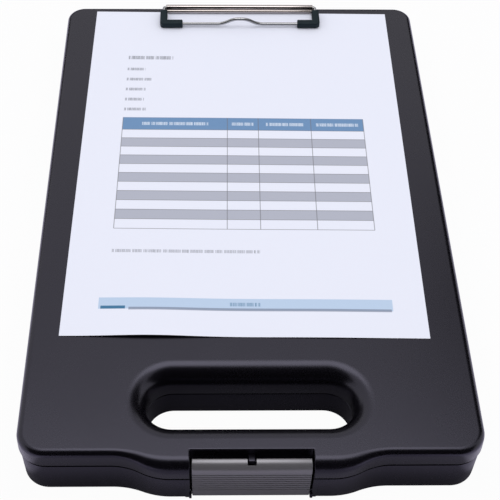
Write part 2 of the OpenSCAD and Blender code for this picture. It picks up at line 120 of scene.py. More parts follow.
def mirrored(half: Points) -> Points:
    """The half outline followed by its mirror image in the X axis' origin, in reverse order."""
    return np.vstack((half, half[::-1] * [-1.0, 1.0]))


def edge_normals(ring: Points) -> tuple[Points, Points]:
    """Mitred inward directions of a counter-clockwise closed ring.

    The direction at a point is the mean of its two edges' left normals, lengthened so that
    moving along it by d moves both edges inwards by d.

    Args:
        ring: Points of the ring.

    Returns:
        The unit directions and their lengthening factors.
    """
    ahead = np.roll(ring, -1, 0) - ring
    ahead /= np.linalg.norm(ahead, axis=1)[:, None]
    left = np.column_stack((-ahead[:, 1], ahead[:, 0]))
    mean = left + np.roll(left, 1, 0)
    mean /= np.linalg.norm(mean, axis=1)[:, None]
    return mean, 1.0 / np.clip((mean * left).sum(1), 0.35, 1.0)


def inset_ring(ring: Points, distance: float) -> Points:
    """The ring moved inwards by a distance, corner by corner along edge_normals."""
    direction, stretch = edge_normals(ring)
    return ring + direction * (stretch * distance)[:, None]


def rounded_polygon(corners: Sequence[Sequence[float]], radii: Sequence[float], steps: int = 6) -> Points:
    """Polygon whose corners are replaced by tangent arcs.

    Each corner's arc is centred on the corner's bisector and spans the turn between its two edges.

    Args:
        corners: Corners, counter-clockwise.
        radii: Radius at each corner.
        steps: Segments of each arc.

    Returns:
        The points of the rounded outline.
    """
    out = []
    count = len(corners)
    for i, (corner, radius) in enumerate(zip(corners, radii)):
        p = np.asarray(corner, float)
        before = np.asarray(corners[i - 1], float) - p
        after = np.asarray(corners[(i + 1) % count], float) - p
        before /= np.linalg.norm(before)
        after /= np.linalg.norm(after)
        turn = before[0] * after[1] - before[1] * after[0]
        half = math.acos(float(np.clip(before @ after, -1.0, 1.0))) / 2
        middle = (before + after) / np.linalg.norm(before + after)
        centre = p + middle * radius / math.sin(half)
        reach = radius / math.tan(half)
        first, last = p + before * reach - centre, p + after * reach - centre
        a0 = math.degrees(math.atan2(first[1], first[0]))
        a1 = math.degrees(math.atan2(last[1], last[0]))
        sweep = (a1 - a0) % 360 if turn < 0 else -((a0 - a1) % 360)
        out.append(arc(centre, radius, a0, a0 + sweep, steps))
    return np.vstack(out)


# --- Surfaces ---


@dataclass
class Skin:
    """A mesh in the making: patches whose shared edges are welded when the object is made."""

    points: list[Points] = field(default_factory=list)
    faces: Faces = field(default_factory=list)
    count: int = 0

    def add(self, points: Points, faces: Iterable[Sequence[int]]) -> None:
        """Adds a patch whose faces count from its own first point."""
        start = self.count
        self.points.append(np.asarray(points, float))
        self.faces.extend([start + int(i) for i in face] for face in faces)
        self.count += len(points)

    def grid(self, rings: Points, closed: bool = True) -> None:
        """Adds the quads between successive rows of an array of shape (rows, columns, 3).

        Quad (r, c) joins columns c and c + 1 of rows r and r + 1, round to the first column if closed.
        """
        rows, cols = rings.shape[:2]
        r, c = np.meshgrid(np.arange(rows - 1), np.arange(cols if closed else cols - 1), indexing="ij")
        r, c = r.ravel(), c.ravel()
        d = (c + 1) % cols
        quads = np.column_stack((r * cols + c, r * cols + d, (r + 1) * cols + d, (r + 1) * cols + c))
        self.add(rings.reshape(-1, 3), quads.tolist())

    def flat(self, loops: Sequence[Points], z: float, up: bool) -> None:
        """Adds a level face bounded by loops, of which the even-odd rule tells inside from outside.

        Args:
            loops: Outlines in the XY plane.
            z: Height of the face.
            up: Whether the face looks up.
        """
        start, edges, points = 0, [], []
        for loop in loops:
            n = len(loop)
            edges += [(start + i, start + (i + 1) % n) for i in range(n)]
            points += [Vector(p) for p in loop]
            start += n
        found, _, tris, *_ = delaunay_2d_cdt(points, edges, [], 0, 1e-6)
        xy = np.array([tuple(p) for p in found])
        tri = np.array(tris)
        middle = xy[tri].mean(1)
        inside = np.zeros(len(tri), int)
        for loop in loops:
            a, b = loop, np.roll(loop, -1, 0)
            spans = (a[:, 1] > middle[:, 1:2]) != (b[:, 1] > middle[:, 1:2])
            rise = np.where(b[:, 1] == a[:, 1], 1.0, b[:, 1] - a[:, 1])
            cross = a[:, 0] + (middle[:, 1:2] - a[:, 1]) * (b[:, 0] - a[:, 0]) / rise
            inside += (spans & (cross > middle[:, :1])).sum(1)
        keep = tri[inside % 2 == 1]
        self.add(np.column_stack((xy, np.full(len(xy), z))), (keep if up else keep[:, ::-1]).tolist())

    @classmethod
    def tube(cls, rings: Points) -> "Skin":
        """The closed skin over rings in space, with one face over each end."""
        skin = cls()
        skin.grid(rings)
        face = list(range(rings.shape[1]))
        skin.add(rings[0], [face[::-1]])
        skin.add(rings[-1], [face])
        return skin

    def to_object(self, name: str, sharp_angle: float = CASE_ANGLE) -> bpy.types.Object:
        """Welds the patches and makes the object, shaded smooth up to an angle between faces.

        Args:
            name: Name of the object and its mesh.
            sharp_angle: Angle in degrees from which an edge stays sharp.

        Returns:
            The new object, linked into the scene.
        """
        mesh = bpy.data.meshes.new(name)
        mesh.from_pydata((np.vstack(self.points) * MM).tolist(), [], self.faces)
        bm = bmesh.new()
        bm.from_mesh(mesh)
        bmesh.ops.remove_doubles(bm, verts=bm.verts, dist=2e-6)
        bmesh.ops.dissolve_degenerate(bm, dist=1e-7, edges=bm.edges)
        bmesh.ops.recalc_face_normals(bm, faces=bm.faces)
        loose = [v for v in bm.verts if not v.link_faces]
        bmesh.ops.delete(bm, geom=loose, context="VERTS")
        bm.to_mesh(mesh)
        bm.free()
        obj = place(name, mesh)
        shade(obj, sharp_angle)
        return obj


def place(name: str, data: bpy.types.ID) -> bpy.types.Object:
    """Makes an object of a mesh, a lamp or a camera, linked into the scene."""
    obj = bpy.data.objects.new(name, data)
    bpy.context.scene.collection.objects.link(obj)
    return obj


def rectangle(name: str, width: float, depth: float, z: float = 0.0) -> bpy.types.Mesh:
    """Makes the mesh of a level rectangle about the origin, in metres."""
    w, d = width / 2, depth / 2
    mesh = bpy.data.meshes.new(name)
    mesh.from_pydata([(-w, -d, z), (w, -d, z), (w, d, z), (-w, d, z)], [], [(0, 1, 2, 3)])
    return mesh


def shade(obj: bpy.types.Object, sharp_angle: float) -> None:
    """Shades a mesh smooth, apart from edges at which its faces meet at more than sharp_angle degrees."""
    mesh = obj.data
    mesh.polygons.foreach_set("use_smooth", np.ones(len(mesh.polygons), bool))
    mesh.set_sharp_from_angle(angle=math.radians(sharp_angle))
    mesh.update()


def at_height(ring: Points, z: float | Points) -> Points:
    """The ring of plane points with a height or heights as third column."""
    return np.column_stack((ring, np.broadcast_to(z, len(ring))))


def bar(profile: Points, x0: float, x1: float, rounding: float = 0.0, steps: int = 3) -> Skin:
    """Profile in Y and Z carried along X, with quarter-round edges at both ends.

    Section k of an end lies rounding * (1 - cos a) from it with the profile inset by rounding * (1 - sin a).

    Args:
        profile: Counter-clockwise closed outline, seen from +X.
        x0: Lower end.
        x1: Upper end.
        rounding: Radius of the end edges.
        steps: Segments of each rounding.

    Returns:
        The closed skin.
    """
    edge = quarter_round(rounding, steps if rounding else 0)
    ends = [(x0 + done, left) for left, done in edge] + [(x1 - done, left) for left, done in edge[::-1]]
    return Skin.tube(np.stack([np.column_stack((np.full(len(profile), x), inset_ring(profile, inset)))
                               for x, inset in ends]))


def unit_tangents(path: Points) -> Points:
    """Unit directions along a path."""
    tangent = np.gradient(path, axis=0)
    return tangent / np.linalg.norm(tangent, axis=1)[:, None]


def hoops(path: Points, radii: Points, u: Points, v: Points, sides: int) -> Points:
    """Rings round the points of a path: ring i is path[i] + radii[i] * (cos s * u[i] + sin s * v[i])."""
    s = np.linspace(0, 2 * np.pi, sides, endpoint=False)[None, :, None]
    return path[:, None] + radii[:, None, None] * (np.cos(s) * u[:, None] + np.sin(s) * v[:, None])


def sweep(path: Points, radius: float, sides: int) -> Skin:
    """Round tube along a path that never stands upright, with a blunt dome at each end.

    The rings' axes are the tangent crossed with Z and the tangent crossed with that. The dome's three
    rings have the radius * sin a and lie 0.6 * radius * cos a past the end; the last has 0.3 * radius.

    Args:
        path: Points of the middle line.
        radius: Radius of the tube.
        sides: Points of each ring.

    Returns:
        The closed skin.
    """
    tangent = unit_tangents(path)
    a = np.radians([0.0, 30.0, 60.0])
    out, shrink = radius * np.cos(a) * 0.6, radius * np.sin(a)
    shrink[0] = radius * 0.3
    path = np.vstack((path[0] - tangent[0] * out[:, None], path,
                      path[-1] + tangent[-1] * out[::-1, None]))
    radii = np.concatenate((shrink, np.full(len(tangent), radius), shrink[::-1]))
    tangent = np.vstack((np.repeat(tangent[:1], 3, 0), tangent, np.repeat(tangent[-1:], 3, 0)))
    u = np.cross(tangent, [0.0, 0.0, 1.0])
    u /= np.linalg.norm(u, axis=1)[:, None]
    v = np.cross(tangent, u)
    return Skin.tube(hoops(path, radii, u, v, sides))


def plate(outline: Points, z0: float, z1: float, rounding: float, steps: int = 4) -> Skin:
    """Closed slab of an outline whose upper and lower edges are quarter round.

    Level k has the outline inset by rounding * (1 - sin a) at rounding * (1 - cos a) from its face.

    Args:
        outline: Counter-clockwise outline in the XY plane.
        z0: Underside.
        z1: Upper side.
        rounding: Radius of the edges.
        steps: Segments of each rounding.

    Returns:
        The closed skin.
    """
    edge = quarter_round(rounding, steps)
    levels = [(left, z0 + done) for left, done in edge] + [(left, z1 - done) for left, done in edge[::-1]]
    skin = Skin()
    skin.grid(np.stack([at_height(inset_ring(outline, left), z) for left, z in levels]))
    for z, up in ((z0, False), (z1, True)):
        skin.flat([inset_ring(outline, rounding)], z, up)
    return skin


def block(low: Sequence[float], high: Sequence[float], rounding: float = 0.3) -> Skin:
    """Box with rounded upright and level edges, given by its lowest and highest corners."""
    outline = rounded_polygon([(low[0], low[1]), (high[0], low[1]), (high[0], high[1]), (low[0], high[1])],
                              [rounding * 1.2] * 4, 4)
    return plate(outline, low[2], high[2], rounding, 3)


def combine(obj: bpy.types.Object, others: Sequence[Skin], how: Mix, sharp_angle: float = CASE_ANGLE) -> None:
    """Joins closed skins to an object's mesh or cuts them out of it, and shades it again.

    Args:
        obj: Object whose mesh is replaced.
        others: Closed skins.
        how: Whether they are joined or cut.
        sharp_angle: Angle in degrees from which an edge stays sharp.
    """
    for number, skin in enumerate(others):
        tool = skin.to_object(f"tool_{number}")
        modifier = obj.modifiers.new("combine", "BOOLEAN")
        modifier.operation, modifier.solver, modifier.object = how.value, "EXACT", tool
        mesh = bpy.data.meshes.new_from_object(obj.evaluated_get(bpy.context.evaluated_depsgraph_get()))
        obj.modifiers.remove(modifier)
        old, obj.data = obj.data, mesh
        name = old.name
        bpy.data.meshes.remove(old)
        mesh.name = name
        bpy.data.objects.remove(tool)
    shade(obj, sharp_angle)


def settle(obj: bpy.types.Object, body: Body, material: bpy.types.Material | None,
           node: str) -> None:
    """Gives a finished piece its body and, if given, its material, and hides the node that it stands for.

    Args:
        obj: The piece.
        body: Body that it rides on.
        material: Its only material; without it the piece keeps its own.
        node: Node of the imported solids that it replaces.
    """
    if material:
        obj.data.materials.clear()
        obj.data.materials.append(material)
    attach(obj, body.value)
    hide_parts(node)
    LOG.info("%s: %d faces, rides on %s", obj.name, len(obj.data.polygons), body.value)


# --- Shared shader effects ---


class Graph:
    """Short ways to add and link nodes in a shader node tree."""

    def __init__(self, tree: bpy.types.NodeTree) -> None:
        """Works on a tree."""
        self.tree = tree

    def node(self, kind: str, **settings: object) -> bpy.types.Node:
        """Adds a node and sets its properties."""
        made = self.tree.nodes.new(kind)
        for key, value in settings.items():
            setattr(made, key, value)
        return made

    def link(self, source: bpy.types.NodeSocket, target: bpy.types.NodeSocket) -> None:
        """Links two sockets."""
        self.tree.links.new(source, target)

    def fill(self, targets: Iterable[bpy.types.NodeSocket], values: Iterable[object]) -> None:
        """Feeds each target with its value: a socket is linked to it, anything else is set on it."""
        for target, value in zip(targets, values):
            if isinstance(value, bpy.types.NodeSocket):
                self.link(value, target)
            else:
                target.default_value = value

    def feed(self, node: bpy.types.Node, **values: object) -> None:
        """Feeds a node's inputs by their names; an underscore stands for a space."""
        self.fill((node.inputs[key.replace("_", " ")] for key in values), values.values())

    def math(self, operation: str, *values: bpy.types.NodeSocket | float, clamp: bool = False
             ) -> bpy.types.NodeSocket:
        """Adds a Math node fed by sockets or numbers, and returns its result."""
        made = self.node("ShaderNodeMath", operation=operation, use_clamp=clamp)
        self.fill(made.inputs, values)
        return made.outputs[0]

    def remap(self, value: bpy.types.NodeSocket, low: float, high: float, to_low: float,
              to_high: float) -> bpy.types.NodeSocket:
        """Maps a value's range linearly onto another and clamps it."""
        made = self.node("ShaderNodeMapRange")
        self.fill(made.inputs, (value, low, high, to_low, to_high))
        return made.outputs[0]

    def split(self, vector: bpy.types.NodeSocket) -> bpy.types.bpy_prop_collection:
        """Splits a vector into its X, Y and Z."""
        made = self.node("ShaderNodeSeparateXYZ")
        self.link(vector, made.inputs[0])
        return made.outputs

    def noise(self, vector: bpy.types.NodeSocket, scale: bpy.types.NodeSocket | float, detail: float
              ) -> bpy.types.NodeSocket:
        """Adds a noise in space, and returns its value."""
        made = self.node("ShaderNodeTexNoise")
        self.feed(made, Vector=vector, Scale=scale, Detail=detail)
        return made.outputs[0]


class Effect(Graph):
    """Builds a shader node group with named inputs and one output, on a vector of its own."""

    def __init__(self, name: str, output: str, **numbers: float) -> None:
        """Starts a group.

        Args:
            name: Name of the group.
            output: Name of its only output.
            numbers: Number inputs and their default values; an underscore stands for a space.
        """
        super().__init__(bpy.data.node_groups.new(name, "ShaderNodeTree"))
        self.inlet = self.node("NodeGroupInput").outputs
        outlet = self.node("NodeGroupOutput")
        face = self.tree.interface
        face.new_socket(name="Vector", in_out="INPUT", socket_type="NodeSocketVector")
        for key, value in numbers.items():
            made = face.new_socket(name=key.replace("_", " "), in_out="INPUT", socket_type="NodeSocketFloat")
            made.default_value = value
        face.new_socket(name=output, in_out="OUTPUT", socket_type="NodeSocketFloat")
        self.out = outlet.inputs[output]

    def done(self, result: bpy.types.NodeSocket) -> bpy.types.NodeTree:
        """Links the result to the output, and returns the finished group."""
        self.link(result, self.out)
        return self.tree


def mottle_effect() -> bpy.types.NodeTree:
    """Soft uneven patches over a finer layer: a weighted mean of two noises, from 0 to 1."""
    e = Effect("mottle", "Mask", Broad_Scale=20.0, Fine_Scale=400.0, Fine_Share=0.4)
    broad, fine = (e.noise(e.inlet["Vector"], e.inlet[scale], 3.0) for scale in ("Broad Scale", "Fine Scale"))
    share = e.inlet["Fine Share"]
    return e.done(e.math("ADD", e.math("MULTIPLY", broad, e.math("SUBTRACT", 1.0, share)),
                         e.math("MULTIPLY", fine, share)))


def grain_effect() -> bpy.types.NodeTree:
    """Fine moulded grain: rounded cells with a little noise on top, as a height from 0 to 1."""
    e = Effect("moulded_grain", "Height", Scale=1800.0)
    cells = e.node("ShaderNodeTexVoronoi", feature="SMOOTH_F1")
    e.feed(cells, Vector=e.inlet["Vector"], Scale=e.inlet["Scale"], Smoothness=0.7)
    noise = e.noise(e.inlet["Vector"], e.inlet["Scale"], 2.0)
    return e.done(e.math("ADD", e.math("MULTIPLY", cells.outputs["Distance"], 0.6),
                         e.math("MULTIPLY", noise, 0.4)))


def box_mask_effect() -> bpy.types.NodeTree:
    """One inside a rectangle of the sheet's own X and Y in millimetres, zero outside, with a soft rim."""
    e = Effect("printed_box", "Mask", Left=0.0, Right=0.0, Top=0.0, Bottom=0.0, Soft=0.12)
    axes = e.split(e.inlet["Vector"])
    sides = []
    for axis, low, high in (("X", "Left", "Right"), ("Y", "Top", "Bottom")):
        after = e.math("DIVIDE", e.math("SUBTRACT", axes[axis], e.inlet[low]), e.inlet["Soft"])
        before = e.math("DIVIDE", e.math("SUBTRACT", e.inlet[high], axes[axis]), e.inlet["Soft"])
        sides.append(e.math("ADD", e.math("MINIMUM", after, before), 0.5, clamp=True))
    return e.done(e.math("MULTIPLY", *sides))


def dash_effect() -> bpy.types.NodeTree:
    """Rows of short uneven dashes along X: words and marks, each a noise along the row cut at a level."""
    e = Effect("printed_dashes", "Mask", Word_Scale=0.12, Mark_Scale=0.9)
    along = e.split(e.inlet["Vector"])["X"]
    marks = []
    for scale, low, high in (("Word Scale", 0.30, 0.34), ("Mark Scale", 0.40, 0.62)):
        noise = e.node("ShaderNodeTexNoise", noise_dimensions="1D")
        e.feed(noise, W=e.math("MULTIPLY", along, e.inlet[scale]), Scale=5.0, Detail=0.0)
        marks.append(e.math("DIVIDE", e.math("SUBTRACT", noise.outputs[0], low), high - low, clamp=True))
    return e.done(e.math("MULTIPLY", *marks))


@dataclass(frozen=True)
class Effects:
    """The shared effects, built once."""

    mottle: bpy.types.NodeTree
    grain: bpy.types.NodeTree
    box: bpy.types.NodeTree
    dashes: bpy.types.NodeTree

    @classmethod
    def build(cls) -> "Effects":
        """Builds every group."""
        return cls(mottle_effect(), grain_effect(), box_mask_effect(), dash_effect())


class Paint(Graph):
    """A material in the making: a Principled shader and short ways to feed it."""

    def __init__(self, name: str, effects: Effects | None = None) -> None:
        """Starts a material with the Principled shader and Object coordinates."""
        self.material = bpy.data.materials.new(name)
        self.material.use_nodes = True
        super().__init__(self.material.node_tree)
        self.shader = self.tree.nodes["Principled BSDF"]
        self.effects = effects
        self.coordinates = self.node("ShaderNodeTexCoord").outputs["Object"]

    def set(self, **values: object) -> None:
        """Sets or feeds the shader's own sockets."""
        self.feed(self.shader, **values)

    def group(self, tree: bpy.types.NodeTree, vector: bpy.types.NodeSocket | None = None,
              **values: float) -> bpy.types.NodeSocket:
        """Places a shared effect with its own values, and returns its output."""
        made = self.node("ShaderNodeGroup", node_tree=tree)
        self.feed(made, Vector=vector or self.coordinates, **values)
        return made.outputs[0]

    def mottle(self, broad: float, fine: float, share: float) -> bpy.types.NodeSocket:
        """Places the mottle with its two scales and the share of the fine one."""
        return self.group(self.effects.mottle, Broad_Scale=broad, Fine_Scale=fine, Fine_Share=share)

    def blend(self, factor: bpy.types.NodeSocket, low: Colour | bpy.types.NodeSocket,
              high: Colour | bpy.types.NodeSocket) -> bpy.types.NodeSocket:
        """Mixes two colours by a factor."""
        mix = self.node("ShaderNodeMix", data_type="RGBA")
        low, high = (v if isinstance(v, bpy.types.NodeSocket) else (*v, 1.0) for v in (low, high))
        self.feed(mix, Factor=factor, A=low, B=high)
        return mix.outputs["Result"]

    def bump(self, height: bpy.types.NodeSocket, strength: float, distance: float) -> None:
        """Feeds the shader's normal with a bump of a height."""
        bump = self.node("ShaderNodeBump")
        self.feed(bump, Strength=strength, Distance=distance, Height=height)
        self.set(Normal=bump.outputs[0])


# --- Finishes ---


@dataclass(frozen=True)
class Finish:
    """What plastics and metals share: two tones and the range of the roughness."""

    name: str
    dark: Colour
    light: Colour
    rough_low: float
    rough_high: float

    def tones(self, paint: Paint, mask: bpy.types.NodeSocket) -> bpy.types.NodeSocket:
        """The two tones mixed by a mask."""
        return paint.blend(mask, self.dark, self.light)

    def gloss(self, paint: Paint, mask: bpy.types.NodeSocket) -> bpy.types.NodeSocket:
        """The roughness that follows the middle range of a mask."""
        return paint.remap(mask, 0.3, 0.7, self.rough_low, self.rough_high)


@dataclass(frozen=True)
class Plastic(Finish):
    """Moulded plastic with a fine grain and slightly uneven gloss."""

    ior: float = 1.5
    tint: Colour = (1.0, 1.0, 1.0)
    metallic: float = 0.0
    grain_scale: float = 1500.0
    grain_depth: float = 0.00004
    grain_strength: float = 0.25

    def build(self, effects: Effects) -> bpy.types.Material:
        """Builds the material."""
        paint = Paint(self.name, effects)
        uneven = paint.mottle(18.0, 700.0, 0.35)
        paint.set(Base_Color=self.tones(paint, uneven), Roughness=self.gloss(paint, uneven), IOR=self.ior,
                  Specular_Tint=(*self.tint, 1.0), Metallic=self.metallic)
        grain = paint.group(effects.grain, Scale=self.grain_scale)
        paint.bump(grain, self.grain_strength, self.grain_depth)
        return paint.material


@dataclass(frozen=True)
class Metal(Finish):
    """Plated or bare metal with faint streaks and a slightly uneven polish."""

    streak: tuple[float, float, float] = (30.0, 900.0, 900.0)
    bump_strength: float = 0.04
    bump_depth: float = 0.00002

    def build(self, effects: Effects) -> bpy.types.Material:
        """Builds the material."""
        paint = Paint(self.name, effects)
        stretch = paint.node("ShaderNodeMapping")
        paint.feed(stretch, Vector=paint.coordinates, Scale=self.streak)
        streaks = paint.noise(stretch.outputs[0], 1.0, 4.0)
        paint.set(Base_Color=self.tones(paint, paint.mottle(60.0, 900.0, 0.5)),
                  Roughness=self.gloss(paint, streaks), Metallic=1.0)
        paint.bump(streaks, self.bump_strength, self.bump_depth)
        return paint.material


@dataclass(frozen=True)
class Mark:
    """A printed rectangle on the form, in millimetres from the sheet's upper left corner."""

    left: float
    right: float
    top: float
    bottom: float
    ink: Colour
    strength: float = 1.0
    dashed: bool = False


@dataclass(frozen=True)
class PrintedForm:
    """White paper with the printed layout of a blank order form: bars, rules and dashes, and no words."""

    name: str = "printed_paper"
    paper: Colour = (0.745, 0.765, 0.885)
    paper_warm: Colour = (0.765, 0.78, 0.885)
    head_ink: Colour = (0.145, 0.262, 0.46)
    row_ink: Colour = (0.415, 0.43, 0.515)
    rule_ink: Colour = (0.16, 0.16, 0.18)
    foot_ink: Colour = (0.435, 0.56, 0.745)
    foot_rule: Colour = (0.20, 0.235, 0.33)
    deep_ink: Colour = (0.05, 0.17, 0.31)
    word_ink: Colour = (0.06, 0.065, 0.09)
    pale_ink: Colour = (0.80, 0.86, 0.95)
    left: float = 25.6
    right: float = 185.3
    top: float = 113.9
    bottom: float = 214.4
    head: float = 11.8
    rows: int = 11
    rim: float = 0.25
    rule: float = 0.22
    upright: float = 0.23
    columns: tuple[float, ...] = (95.0, 115.5, 150.4)

    def marks(self) -> list[Mark]:
        """The printed rectangles, in the order in which they lie on each other."""
        left, right, top, bottom = self.left, self.right, self.top, self.bottom
        first = top + self.head
        lines = np.linspace(first, bottom, self.rows + 1)
        edges = (left, *self.columns, right)
        middle = (top + first) / 2
        return [
            Mark(left, right, top, first, self.head_ink),
            *(Mark(left, right, *lines[i:i + 2], self.row_ink) for i in range(1, self.rows, 2)),
            *(Mark(left, right, y - self.rule, y + self.rule, self.rule_ink, 0.85) for y in lines),
            *(Mark(x - self.upright, x + self.upright, top, bottom, self.rule_ink, 0.8) for x in edges),
            Mark(left, right, top - 0.15, top + 0.15, self.rule_ink, 0.45),
            *(Mark((a + b) / 2 - w, (a + b) / 2 + w, middle - 1.5, middle + 1.5, self.pale_ink, 0.95, True)
              for a, b, w in zip(edges, edges[1:], (22.0, 7.5, 12.5, 14.0))),
            Mark(25.8, 57.0, 50.1, 53.7, self.word_ink, 1.0, True),
            *(Mark(left, left + w, y - 1.4, y + 1.4, self.word_ink, 0.9, True)
              for y, w in zip((64.3, 75.0, 85.4, 95.7, 105.7), (12.5, 17.0, 13.5, 13.0, 14.5))),
            Mark(left, 114.7, 231.4, 233.9, self.word_ink, 0.75, True),
            Mark(20.7, 190.8, 269.2, 277.6, self.foot_ink, 0.9),
            Mark(38.2, 190.0, 276.3, 278.3, self.foot_rule, 0.8),
            Mark(22.0, 36.2, 275.3, 277.6, self.deep_ink),
            Mark(96.6, 114.4, 272.1, 274.8, self.deep_ink, 0.95, True)]

    def build(self, effects: Effects) -> bpy.types.Material:
        """Builds the material on the sheet's own map, which counts millimetres."""
        paint = Paint(self.name, effects)
        flat = paint.node("ShaderNodeUVMap", uv_map="sheet_mm").outputs[0]
        colour = paint.blend(paint.mottle(25.0, 1500.0, 0.6), self.paper, self.paper_warm)
        dashes = paint.group(effects.dashes, flat)
        for mark in self.marks():
            mask = paint.group(effects.box, flat, Left=mark.left, Right=mark.right, Top=mark.top,
                               Bottom=mark.bottom, Soft=self.rim)
            worn = paint.math("MULTIPLY", mask, mark.strength)
            if mark.dashed:
                worn = paint.math("MULTIPLY", worn, dashes)
            colour = paint.blend(worn, colour, mark.ink)
        paint.set(Base_Color=colour, Roughness=0.75, Specular_IOR_Level=0.3)
        paint.bump(paint.mottle(300.0, 2500.0, 0.6), 0.12, 0.00005)
        return paint.material


@dataclass(frozen=True)
class PlainPaper:
    """The bare underside and edges of the sheets."""

    name: str = "plain_paper"

    def build(self, effects: Effects) -> bpy.types.Material:
        """Builds the material."""
        paint = Paint(self.name, effects)
        tone = paint.mottle(30.0, 2000.0, 0.6)
        paint.set(Base_Color=paint.blend(tone, (0.84, 0.85, 0.90), (0.88, 0.88, 0.91)), Roughness=0.8,
                  Specular_IOR_Level=0.3)
        return paint.material


CASE_PLASTIC = Plastic("case_plastic_black", (0.0016, 0.0013, 0.0022), (0.0026, 0.0021, 0.0036), 0.24, 0.30,
                       ior=1.52, tint=(0.80, 0.77, 1.0))
LATCH_PLASTIC = Plastic("latch_plastic_grey", (0.172, 0.167, 0.182), (0.202, 0.196, 0.214), 0.27, 0.34,
                        metallic=0.60, grain_strength=0.15)
RUBBER = Plastic("cap_rubber_blue_black", (0.0020, 0.0040, 0.0055), (0.0040, 0.0070, 0.0095), 0.55, 0.66,
                 ior=1.42, tint=(0.6, 0.85, 1.0), grain_scale=2600.0)
CHROME = Metal("clip_chrome", (0.42, 0.375, 0.365), (0.49, 0.445, 0.435), 0.08, 0.13)
WIRE_CHROME = Metal("wire_chrome", (0.36, 0.36, 0.37), (0.44, 0.44, 0.45), 0.14, 0.20)
STEEL = Metal("pin_steel", (0.42, 0.42, 0.43), (0.50, 0.50, 0.51), 0.25, 0.36)
SPRING_STEEL = Metal("spring_steel_dark", (0.30, 0.30, 0.31), (0.38, 0.38, 0.39), 0.22, 0.32)


# --- The case ---


@dataclass(frozen=True)
class Level:
    """One ring of a shell: how far it lies inside the outline and the notch, and how high.

    Attributes:
        inset: Distance inside the outline.
        z: Height of the outline's points.
        notch_inset: Distance behind the faces of the notch.
        notch_z: Height of the notch's points.
        bulge: How far the bulge stands out.
        corner: Plan radius of the corners between notch and front.
        bulge_in: How much further in the ring lies on the bulge.
        bulge_down: How much lower the ring lies on the bulge.
    """

    inset: float
    z: float
    notch_inset: float
    notch_z: float
    bulge: float
    corner: float = 0.05
    bulge_in: float = 0.0
    bulge_down: float = 0.0


@dataclass(frozen=True)
class CasePlan:
    """The plan shapes that the lid and the base share."""

    width: float = 250.0
    length: float = 389.0
    bulge_out: float = 8.2
    bulge_flat: float = 86.0
    bulge_sweep: float = 32.0
    front_corner: float = 16.0
    rear_corner: float = 12.5
    hole_length: float = 114.0
    hole_depth: float = 30.4
    hole_corner: float = 14.8
    hole_y: float = -151.0
    notch_half: float = 32.7
    notch_fillet: float = 0.6
    tongue_end: float = 35.3
    step_width: float = 0.02
    arc_steps: int = 14
    corner_steps: int = 18

    @property
    def rear(self) -> float:
        """Y of the rear wall."""
        return self.length / 2

    @property
    def shoulder(self) -> float:
        """Y of the front wall beside the bulge."""
        return self.bulge_out - self.length / 2

    def ring(self, level: Level, notch_back: float) -> Points:
        """Outline with its front bulge and notch at one level, counter-clockwise.

        The right half runs from the notch's rear wall round its corner, along its side to the front,
        over the bulge's convex and concave arcs, which are tangent, and round the two corners of the case.
        """
        inset, corner = level.inset, level.corner
        turn = 2 * math.atan(level.bulge / self.bulge_sweep)
        r, t = self.bulge_sweep / (2 * math.sin(turn)), math.degrees(turn)
        front = self.shoulder - level.bulge
        x, back = self.notch_half + level.notch_inset, notch_back + level.notch_inset
        fillet, start = self.notch_fillet, self.bulge_flat / 2
        turns = ((self.front_corner, self.shoulder + self.front_corner, -90),
                 (self.rear_corner, self.rear - self.rear_corner, 0))
        return mirrored(np.vstack((
            arc((x - fillet, back - fillet), fillet, 90, 0, 4),
            arc((x + corner, front + inset + corner), corner, 180, 270, 4),
            [[self.tongue_end, front + inset], [self.tongue_end + self.step_width, front + inset]],
            arc((start, front + r), r - inset, -90, t - 90, self.arc_steps),
            arc((start + self.bulge_sweep, self.shoulder - r), r + inset, 90 + t, 90, self.arc_steps)[1:],
            *(arc((self.width / 2 - radius, y), radius - inset, first, first + 90, self.corner_steps)
              for radius, y, first in turns))))

    def level_ring(self, level: Level, notch_back: float) -> Points:
        """The ring in space; points beside and behind the notch take the notch's height.

        Where the bulge stands out, its share from 0 to 1 moves the ring further in and down.
        """
        ring = self.ring(level, notch_back)
        near = (np.abs(ring[:, 0]) < self.tongue_end + self.step_width / 2) & (ring[:, 1] < 0)
        share = np.clip((self.shoulder + level.inset - ring[:, 1]) / level.bulge, 0, 1)
        ring[:, 1] += share * level.bulge_in
        return at_height(ring, np.where(near, level.notch_z, level.z) - share * level.bulge_down)

    def hole(self, grow: float) -> Points:
        """Outline of the carrying hole moved outwards, counter-clockwise."""
        x = self.hole_length / 2 - self.hole_corner
        y = self.hole_depth / 2 - self.hole_corner
        r = self.hole_corner + grow
        return mirrored(np.vstack([arc((x, self.hole_y + s * y), r, first, first + 90, self.corner_steps)
                                   for s, first in ((-1, -90), (1, 0))]))

    def shell(self, name: str, levels: Iterable[Level], notch_back: float,
              hole_rings: Iterable[tuple[float, float]]) -> bpy.types.Object:
        """Makes a closed shell, with level faces from each end of the outer rings to the hole's other end.

        Args:
            name: Name of the object.
            levels: Rings of the outline; the face at the last one looks up.
            notch_back: Y of the notch's rear wall.
            hole_rings: Pairs of growth and height of the carrying hole's rings.

        Returns:
            The shell without its details.
        """
        rings = np.stack([self.level_ring(level, notch_back) for level in levels])
        holes = np.stack([at_height(self.hole(grow), z) for grow, z in hole_rings])
        skin = Skin()
        skin.grid(rings)
        skin.grid(holes)
        for outer, inner, up in ((rings[-1], holes[0], True), (rings[0], holes[-1], False)):
            skin.flat([outer[:, :2], inner[:, :2]], inner[0, 2], up)
        return skin.to_object(name)


